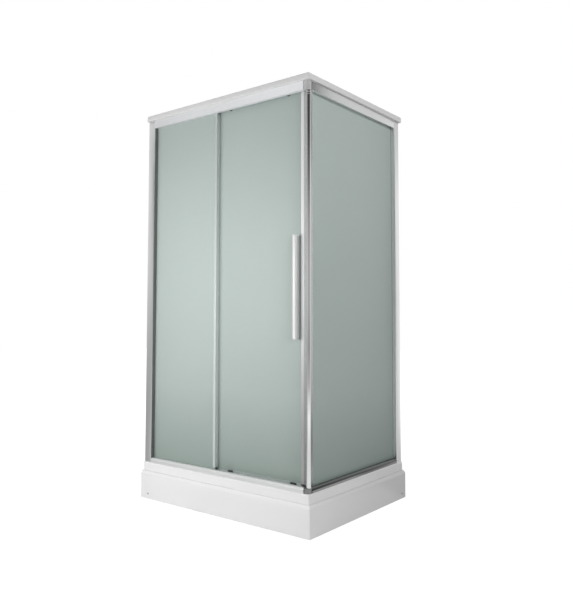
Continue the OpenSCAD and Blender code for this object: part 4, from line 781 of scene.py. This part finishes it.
def seals():
    """Upright strips and profiles, each of one or more sections, and the sweep under the door."""
    lining = [[-522.5, -432], [-520.9, -432], [-520.9, -416], [-518.5, -416], [-518.5, -413],
        [-522.5, -413]]
    fixed_edge = [[-67.5, -414.5], [-52, -414.5], [-52, -391.5], [-53.5, -391.5], [-53.5, -406.5],
        [-67.5, -406.5], [-67.5, -408], [-53.5, -408], [-53.5, -413], [-67.5, -413]]
    hidden = [[-81, -403.5], [-79.5, -403.5], [-79.5, -392.5], [-69.5, -392.5], [-69.5, -391],
        [-79.5, -391], [-79.5, -386], [-69.5, -386], [-69.5, -384.5], [-81, -384.5]]
    door_edge = [[481.5, -392.5], [483.5, -394], [500.5, -394], [500.5, -391], [498.5, -391],
        [498.5, -386], [500.5, -386], [500.5, -383.5], [483.5, -383.5], [481.5, -384.5],
        [481.5, -386], [496.5, -386], [496.5, -391], [481.5, -391]]
    on_door = [[498.5, -391], [500.5, -391], [500.5, -393], [506, -393], [506, -384], [500.5, -384],
        [500.5, -386], [498.5, -386]]
    on_post = [[506.5, -393], [512.5, -393], [512.5, -391], [516.5, -391], [516.5, -385],
        [512.5, -385], [512.5, -384], [506.5, -384]]
    beside = [rect(532.5, -376, 534.3, -372), rect(532.5, 388, 534.3, 392)]
    for name, node_name, made, sections, za, zb, body in (
            ("post_lining", "seal_fixed_left", dark_vinyl, [lining], SILL, RAIL, "cabin"),
            ("fixed_edge_profile", "seal_fixed_edge", milky_vinyl, [fixed_edge], 225, RAIL, "cabin"),
            ("side_glass_strips", "seal_side", clear_vinyl, beside, SILL, RAIL, "cabin"),
            ("door_hidden_profile", "seal_door_left", clear_vinyl, [hidden], 223, 2060, "door"),
            ("door_edge_profile", "door_profile", door_profile_painted_shade, [door_edge], 219, 2080, "door"),
            ("door_magnet_strip", "magnet_door", magnet_vinyl_painted_shade, [on_door], 221, 2078, "door"),
            ("post_magnet_strip", "magnet_post", magnet_vinyl_painted_shade, [on_post], SILL, RAIL, "cabin")):
        skin(name, [run(rounded(c), "z", za, zb, 0.3) for c in sections], made, node_name, body)
    blade = rounded([[-390.9, 216.2], [-389.4, 216.2], [-389.4, 195.6], [-390.9, 195.6]], 0.4)
    parts = []
    for xa, xb, high in ((-78.5, 16.5, 218.8), (52.5, 416.5, 223), (452.5, 480.5, 223)):
        holder = rect(-392.5, 216, -384.5, high)
        if high > 220:
            holder[3:3] = [[-386, high], [-386, 218.8], [-391, 218.8], [-391, high]]
        parts += [run(rounded(holder, 0.4), "x", xa, xb, 0.3), run(blade, "x", xa, xb, 0.3)]
    skin("door_sweep", parts, clear_vinyl, "seal_door_bottom", "door")


# Door fittings

def caps_and_wheels():
    """Turned caps in front of the door glass, and top and low wheels with a groove for the fins."""
    cap = [[0, -397.6], [4.2, -397.6], [4.8, -398.6], [7.5, -399], [13.2, -399], [16.5, -396.2],
        [16.5, -392.2], [15.6, -391.2], [0, -391.2]]
    skin("roller_cap_pair", [turned(soft_profile(cap, 0.8), (x, 0, TOP_AXLE), "y") for x in TOP_ROLLERS],
        roller_caps_painted_shade, "roller_caps", "door")
    for k, side in enumerate(("left", "right")):
        for level, r, bore, xs, z in (("top", 11.5, 3.05, TOP_ROLLERS, TOP_AXLE),
                ("low", 9.0, 2.55, LOW_ROLLERS, LOW_AXLE)):
            loop = rounded([[bore, -4, 0.3], [r + 2, -4, 0.6], [r + 2, -3, 0.5], [r, -1.6, 0.6],
                    [r, 1.6, 0.6], [r + 2, 3, 0.5], [r + 2, 4, 0.6], [bore, 4, 0.3]])
            body = level + "_wheel_" + side
            skin("grooved_" + body, turned(loop, (xs[k], WHEEL_Y, z), "y"), nylon, body, body, wrap=True)


def handle():
    """Drawn profile, open to the left: rounded grip in front, web set back behind it, base on the
    glass."""
    flat = rounded([[8.5, -38, 5], [8.5, -26, 1.2], [6.5, -26, 0.8], [6.5, 0, 0.5], [-6.5, 0, 0.5],
            [-6.5, -7, 0.8], [1.5, -7, 1], [1.5, -26, 1], [-8.5, -26, 1.2], [-8.5, -38, 5]],
        steps=7) + [464.5, -391]
    skin("handle_grip", run(flat, "z", 889, 1379, 0.8, 4), handle_lit_copy, "handle_bar", "door")


# Shower set and waste

def mixer():
    """Cross bar with domed ends, two inlets with union nuts and wall roses, seat of the hub, and the
    outlet of the riser; the dome is a quarter ellipse."""
    dome = arc(0, 99, 21, 6, 0, 90, 9)
    bar = np.concatenate([dome[::-1] * [1, -1], [[21, -60], [20.4, -58], [20.4, 58], [21, 60]], dome])
    bar[[0, -1], 0] = 0
    rose = soft_profile([[10, 431], [33, 431], [32, 427], [25, 421.3], [22, 421], [10, 421]], 1.0)
    shells = [turned(bar, (MIXER_X, MIXER_Y, MIXER_Z), "x", 72)]
    for x in (MIXER_X - 75, MIXER_X + 75):
        at = (x, 0, MIXER_Z)
        shells += [turned(rose, at, "y"), rod(11.5, 371, 437, 0.5, at, "y"),
            run(rounded(circle(17.2, 6) + [x, MIXER_Z], 1.4), "y", 381, 397, 1.2),
            rod(10.48, 436, 454, 0.8, at, "y")]
    at = (MIXER_X, 0, MIXER_Z)
    shells += [rod(22, 342, 371, 1.2, at, "y"), rod(8, 336, 344, 0.4, at, "y"),
        rod(15, 1085, 1110, 1.0, (MIXER_X, MIXER_Y, 0))]
    skin("mixer_bar", shells, chrome, "mixer_body")


def lever():
    """Blade: rounded rectangles along a bent path, their width growing and their thickness shrinking
    towards the rounded tip; with the pivot pin and its eye."""
    f = np.linspace(0, 1, 28)
    z = 1082 - 102.5 * f
    y = 322.5 - 6.0 * np.minimum(1, f / 0.28) ** 1.5
    wide = np.interp(f, [0, 0.3, 0.9], [5.7, 5.9, 9.0])
    wide *= np.sqrt(np.clip(1 - ((f - 0.91) / 0.09).clip(0, 1) ** 2, 0.02, 1))
    deep = np.interp(f, [0, 0.3, 1], [4.5, 3.4, 2.4])
    unit = rounded(rect(-1, -1, 1, 1), 0.45, 6)
    blade = np.stack([MIXER_X + unit[None, :, 0] * wide[:, None],
            y[:, None] + unit[None, :, 1] * deep[:, None], np.repeat(z[:, None], len(unit), 1)], -1)
    pins = [rod(r, MIXER_X - half, MIXER_X + half, 0.4, (0, 327, MIXER_Z), "x", 40)
        for r, half in ((2.45, 11.6), (5.0, 6.0))]
    skin("mixer_handle", [blade] + pins, chrome, "mixer_lever", "mixer_lever")


def riser():
    """Pipe carried up, round a quarter-circle bend and out along the arm; union nut at its foot, boss,
    neck and ball at its end."""
    bend_r = 60
    up = np.stack([np.full(20, MIXER_Y), np.linspace(1110, ARM_Z - bend_r, 20)], 1)
    bend = arc(MIXER_Y - bend_r, ARM_Z - bend_r, bend_r, bend_r, 0, 90, 17)[1:-1]
    out = np.stack([np.linspace(MIXER_Y - bend_r, HEAD_Y + 12, 16), np.full(16, ARM_Z)], 1)
    path = np.concatenate([up, bend, out])
    path = np.concatenate([np.full((len(path), 1), MIXER_X), path], 1)
    ball = np.concatenate([arc(0, BALL_Z, 8, 8, -90, 52, 24),
            [[5, BALL_Z + 12], [5, BALL_Z + 18], [0, BALL_Z + 18]]])
    ball[0, 0] = 0
    above = (MIXER_X, HEAD_Y, 0)
    skin("riser_and_arm", [
        carried(path, circle(11, 48)),
        run(rounded(circle(16.3, 6) + [MIXER_X, MIXER_Y], 1.4), "z", 1110, 1124, 1.0),
        rod(14, HEAD_Y - 14, HEAD_Y + 15, 2.5, (MIXER_X, 0, ARM_Z), "y", steps=6),
        rod(12, BALL_Z + 11, ARM_Z, 1.0, above), turned(ball, above)], chrome, "riser_pipe")


def head():
    """Overhead head: neck, dome falling as a quarter ellipse, rounded rim, spray face with four rings
    of soft nozzles, and the clevis with its pin."""
    face, ear_top = 1927.0, 1966.5
    dome = arc(20, face + 12, 88, 10, 90, 0, 20)
    body = np.concatenate([[[0, face + 24], [15, face + 24], [17.5, face + 23.4]], dome,
            [[109.4, face + 10.6], [110, face + 9], [110, face + 4], [109.2, face + 1.6],
                [107, face], [102, face], [100.5, face + 0.8], [99, face], [0, face]]])
    shells = [turned(body, (MIXER_X, HEAD_Y, 0), around=120)]
    ear = rounded([[-7, face + 16, 0.5], [7, face + 16, 0.5], [7, 1963, 3], [4.5, ear_top, 3],
            [-4.5, ear_top, 3], [-7, 1963, 3]])
    for y in (HEAD_Y - 16.5, HEAD_Y + 16.5):
        shells.append(run(ear + [MIXER_X, 0], "y", y - 2, y + 2, 0.5))
    shells.append(rod(2.2, HEAD_Y - 17, HEAD_Y + 17, 0.3, (MIXER_X, 0, 1959), "y", 32))
    skin("rain_head", shells, chrome, "shower_head", "shower_head")
    nozzle = np.array([[0, 0.4], [2.6, 0.4], [2.2, -0.5], [1.3, -1.9], [0.7, -2], [0.6, -1.2],
            [0, -1.2]]) + [0, face]
    ring = np.concatenate([np.full(k * 6, k) for k in range(1, 5)])
    turn = np.concatenate([np.arange(k * 6) * 2 * np.pi / (k * 6) for k in range(1, 5)])
    places = np.stack([MIXER_X + ring * 22 * np.cos(turn), HEAD_Y + ring * 22 * np.sin(turn)], 1)
    skin("head_nozzles", [turned(nozzle, (x, y, 0), around=10) for x, y in places], black_rubber,
        body="shower_head")


def waste():
    """Lift-off cover: shallow dome with a turned-down rim and a ring groove, on three legs."""
    top = 120.2
    dome = arc(0, top + 2.4, 54, 6, 90, 8, 16)
    dome[0, 0] = 0
    lid = np.concatenate([dome, [[55, top + 2.4], [54.6, top + 1.6], [48.5, top + 1.6], [48, top + 3.2],
                [0, top + 5]]])
    shells = [turned(lid, (DRAIN_X, DRAIN_Y, 0), around=96)]
    for k in np.radians([90, 210, 330]):
        shells.append(rod(1.8, 114, 125, 0.5, (DRAIN_X + 37.8 * np.cos(k), DRAIN_Y + 37.8 * np.sin(k), 0),
                around=20))
    skin("drain_cover", shells, waste_steel, "waste_cover", "waste_cover")


def supports():
    """Turned pads and rods at the six feet."""
    pad = [[0, 0], [26.5, 0], [28, 1.5], [28, 4], [25, 6.5], [12, 8], [11, 14], [6, 14], [6, 6], [0, 6]]
    spots = [(x, y, 0) for x in (-470.5, -125.5, 419.5) for y in (-310.0, 340.0)]
    skin("levelling_pads", [turned(soft_profile(pad, 0.7), at) for at in spots], black_rubber, "foot_pads")
    skin("levelling_rods", [rod(6, 6, 96, 0.8, at, around=32) for at in spots], zinc_thread, "foot_rods")


for make in (tray, apron, roof, posts, rails, corner, glazing, seals, caps_and_wheels, handle, mixer,
        lever, riser, head, waste, supports):
    make()

# Pieces that keep their node's form, with the width of their rounded edges; the last four are bodies of
# their own
for body, rows in (
        ("cabin", (("apron_screws", "apron_screw_pair", screw_black, 0.15),
                ("base_board", "chip_board", chipboard, 0.8),
                ("tray_frame", "tube_frame", tube_paint, 0.8),
                ("foot_nuts", "levelling_nuts", zinc, 0.5),
                ("frame_screws", "frame_screw_set", zinc, 0.15),
                ("glass_clips", "glass_clip_set", dark_plastic, 0.6),
                ("door_buffers", "stop_buffers", black_rubber, 1.0),
                ("waste_body", "waste_flange", pipe_white, 0.4),
                ("waste_gasket", "waste_gasket_ring", black_rubber, 0.4),
                ("waste_trap", "trap_and_outlet", pipe_white, 0.6),
                ("riser_bracket", "riser_wall_bracket", chrome, 0.6))),
        ("door", (("roller_bolts", "roller_bolt_pair", zinc, 0.3),
                ("low_housings", "roller_housings", dark_plastic, 0.5),
                ("handle_bolts", "handle_fixings", chrome, 0.3))),
        ("", (("low_carrier_left", "left_release_slide", dark_plastic, 0.4),
              ("low_carrier_right", "right_release_slide", dark_plastic, 0.4),
              ("mixer_hub", "mixer_knob", chrome, 0.5),
              ("head_swivel", "ball_socket", chrome, 0.4)))):
    for node_name, name, made, width in rows:
        eased(node_name, name, made, width, body or node_name)


# Studio

def white_to_eye(tree):
    """Share of a ray that sees the background as white: camera, mirror and glass rays."""
    ray = node("LightPath", tree).outputs
    some = calc("MAXIMUM", ray["Is Camera Ray"], ray["Is Glossy Ray"])
    return calc("MAXIMUM", some, ray["Is Transmission Ray"])


def studio_piece(name, points, faces):
    """Object of the studio, the node tree of its material and the input that takes its shader."""
    mesh = bpy.data.meshes.new(name)
    mesh.from_pydata(points, [], faces)
    made = bpy.data.materials.new(name)
    made.use_nodes = True
    tree = made.node_tree
    tree.nodes.remove(tree.nodes["Principled BSDF"])
    mesh.materials.append(made)
    thing = add(name, mesh)
    return thing, tree, tree.nodes["Material Output"].inputs["Surface"]


def studio_floor():
    """Pale floor: diffuse for the lamps' light and mostly white to the eye near the cabin, where a soft
    shadow stays; wholly white to the eye further out."""
    size = 14.0
    corners = [(x, y, 0) for x, y in rect(-size, -size, size, size)]
    _, tree, surface = studio_piece("studio_floor", corners, [(0, 1, 2, 3)])
    dull = node("BsdfDiffuse", tree, Color=(0.7, 0.7, 0.7, 1)).outputs[0]
    white = node("Emission", tree, Color=(1, 1, 1, 1), Strength=1.2).outputs[0]
    away = vector("LENGTH", node("TexCoord", tree).outputs["Object"])
    share = times(white_to_eye(tree), spread(away, 1.3, 2.6, 0.8, 1.0))
    both = node("MixShader", Fac=share)
    feed(both.inputs[1], dull)
    feed(both.inputs[2], white)
    feed(surface, both.outputs[0])


# Brightness of the mirrored room by height, where height is the sine of the angle above level
ROOM_LEFT = [(-0.6, 0.44), (-0.3, 0.42), (-0.18, 0.46), (-0.05, 0.60), (0.08, 0.74), (0.25, 0.86),
    (0.38, 0.88), (0.44, 0.62), (0.6, 0.58)]
ROOM_FRONT = [(-0.6, 0.82), (-0.38, 0.77), (-0.33, 0.80), (-0.25, 1.0), (-0.2, 0.75), (-0.16, 0.47),
    (-0.07, 0.33), (0.025, 0.42), (0.12, 0.42), (0.21, 0.34), (0.29, 0.16), (0.37, 0.06)]
ROOM_RIGHT = [(-0.6, 0.55), (-0.48, 0.80), (-0.34, 0.98), (-0.2, 1.0), (0.0, 0.96), (0.34, 1.0),
    (0.42, 0.66), (0.46, 0.54)]
ROOM_NEAR = [(-0.6, 0.76), (-0.48, 0.66), (-0.36, 0.40), (-0.25, 0.50), (-0.16, 0.42), (-0.07, 0.38),
    (0.025, 0.60), (0.12, 0.60), (0.21, 0.40), (0.29, 0.18), (0.37, 0.08)]
ROOM_FAR = [(-0.6, 0.80), (-0.4, 0.72), (-0.25, 0.56), (-0.1, 0.50), (0.1, 0.46), (0.24, 0.34),
    (0.32, 0.08), (0.6, 0.10)]
LOWEST, HIGHEST = -0.7, 0.6


def mirrored_room():
    """Bowl round the studio that only mirror rays see, like the flags and sheets that a photographer
    sets up. Its brightness comes from the direction in which a place of the bowl lies from the middle
    of the cabin: its height and how far round it is. Its rings are made in millimetres."""
    curve = arc(3000, 3501.5, 3500, -3500, 90, 0, 14)
    rings = turned(np.concatenate([[[0, 1.5], [3000, 1.5]], curve, [[6500, 5200]]]), (0, 0, 0))
    room, tree, surface = studio_piece("mirrored_room", (rings.reshape(-1, 3) / 1000).tolist(),
        shell_faces(rings, False, 0)[:-1])
    room.active_material.cycles.emission_sampling = "NONE"
    for kind in ("camera", "diffuse", "transmission", "volume_scatter", "shadow"):
        setattr(room, "visible_" + kind, False)
    where = vector("SUBTRACT", node("TexCoord", tree).outputs["Object"], (0, 0, 1.0))
    height = coordinate(vector("NORMALIZE", where), "Z")
    level = vector("NORMALIZE", vector("MULTIPLY", where, (1, 1, 0)))

    def by_height(stops):
        ramp = node("ValToRGB", Fac=spread(height, LOWEST, HIGHEST))
        while len(ramp.color_ramp.elements) < len(stops):
            ramp.color_ramp.elements.new(0.5)
        for element, (at, value) in zip(ramp.color_ramp.elements, stops):
            element.position = (at - LOWEST) / (HIGHEST - LOWEST)
            element.color = (value, value, value, 1)
        return ramp.outputs["Color"]

    # each sector lies round a middle, in degrees; the cosine between them tells how far it reaches
    colour = by_height(ROOM_LEFT)
    for middle, low, high, stops in ((86, 0.80, 0.90, ROOM_RIGHT), (158, 0.75, 0.83, ROOM_FAR),
            (-125, 0.970, 0.988, ROOM_NEAR), (-33.5, 0.317, 0.383, ROOM_FRONT)):
        way = (math.cos(math.radians(middle)), math.sin(math.radians(middle)), 0)
        sector = spread(vector("DOT_PRODUCT", level, way), low, high)
        colour = blend_colour(sector, colour, by_height(stops))
    feed(surface, node("Emission", Color=colour, Strength=1.0).outputs[0])


def studio_world(level):
    """Even light of the given level from all round, white to the eye."""
    world = bpy.data.worlds.new("studio")
    world.use_nodes = True
    bpy.context.scene.world = world
    tree = world.node_tree
    ground = tree.nodes["Background"].inputs
    feed(ground["Color"], (1, 1, 1, 1))
    feed(ground["Strength"], spread(white_to_eye(tree), 0.0, 1.0, level, 1.0))


def soft_lamp(name, place_at, aim, wide, high, power):
    """Rectangular soft lamp at a place, turned to its aim; mirrors don't show it."""
    light = bpy.data.lights.new(name, "AREA")
    light.shape, light.size, light.size_y, light.energy = "RECTANGLE", wide, high, power
    lamp = add(name, light)
    lamp.location = place_at
    lamp.rotation_euler = (Vector(aim) - Vector(place_at)).to_track_quat("-Z", "Y").to_euler()
    lamp.visible_glossy = False


def camera():
    """Camera that sees the cabin as the photograph does, from its front right corner."""
    eye = bpy.data.cameras.new("camera")
    eye.lens, eye.sensor_width, eye.shift_y = 39.51, 36.0, -0.0365
    eye.clip_start, eye.clip_end = 0.05, 60.0
    seen = add("camera", eye)
    seen.location = (2.3350, -2.8811, 0.9944)
    seen.rotation_euler = (math.pi / 2 + 0.05847, -0.00108, 0.66241)
    bpy.context.scene.camera = seen


camera()
studio_floor()
mirrored_room()
studio_world(0.147)
for lamp_row in (
        ("front_lamp", (-0.08, -1.8, 1.33), (-0.05, -0.43, 1.28), 0.9, 0.9, 14.5),
        ("left_lamp", (-1.6, -2.8, 1.1), (-0.35, -0.43, 0.8), 1.6, 1.4, 39.0),
        ("side_lamp", (2.3, -1.25, 1.45), (0.55, -0.25, 1.2), 1.0, 1.0, 14.0),
        ("high_lamp", (3.1, -1.0, 2.7), (0.55, -0.2, 1.75), 1.4, 1.2, 19.6),
        ("far_side_lamp", (2.6, 0.7, 2.7), (0.55, 0.1, 2.0), 1.0, 0.8, 16.0),
        ("rear_lamp", (-1.6, 3.4, 2.4), (0.0, 0.4, 1.2), 2.0, 2.0, 55.0)):
    soft_lamp(*lamp_row)
bpy.context.scene.view_settings.view_transform = "Standard"
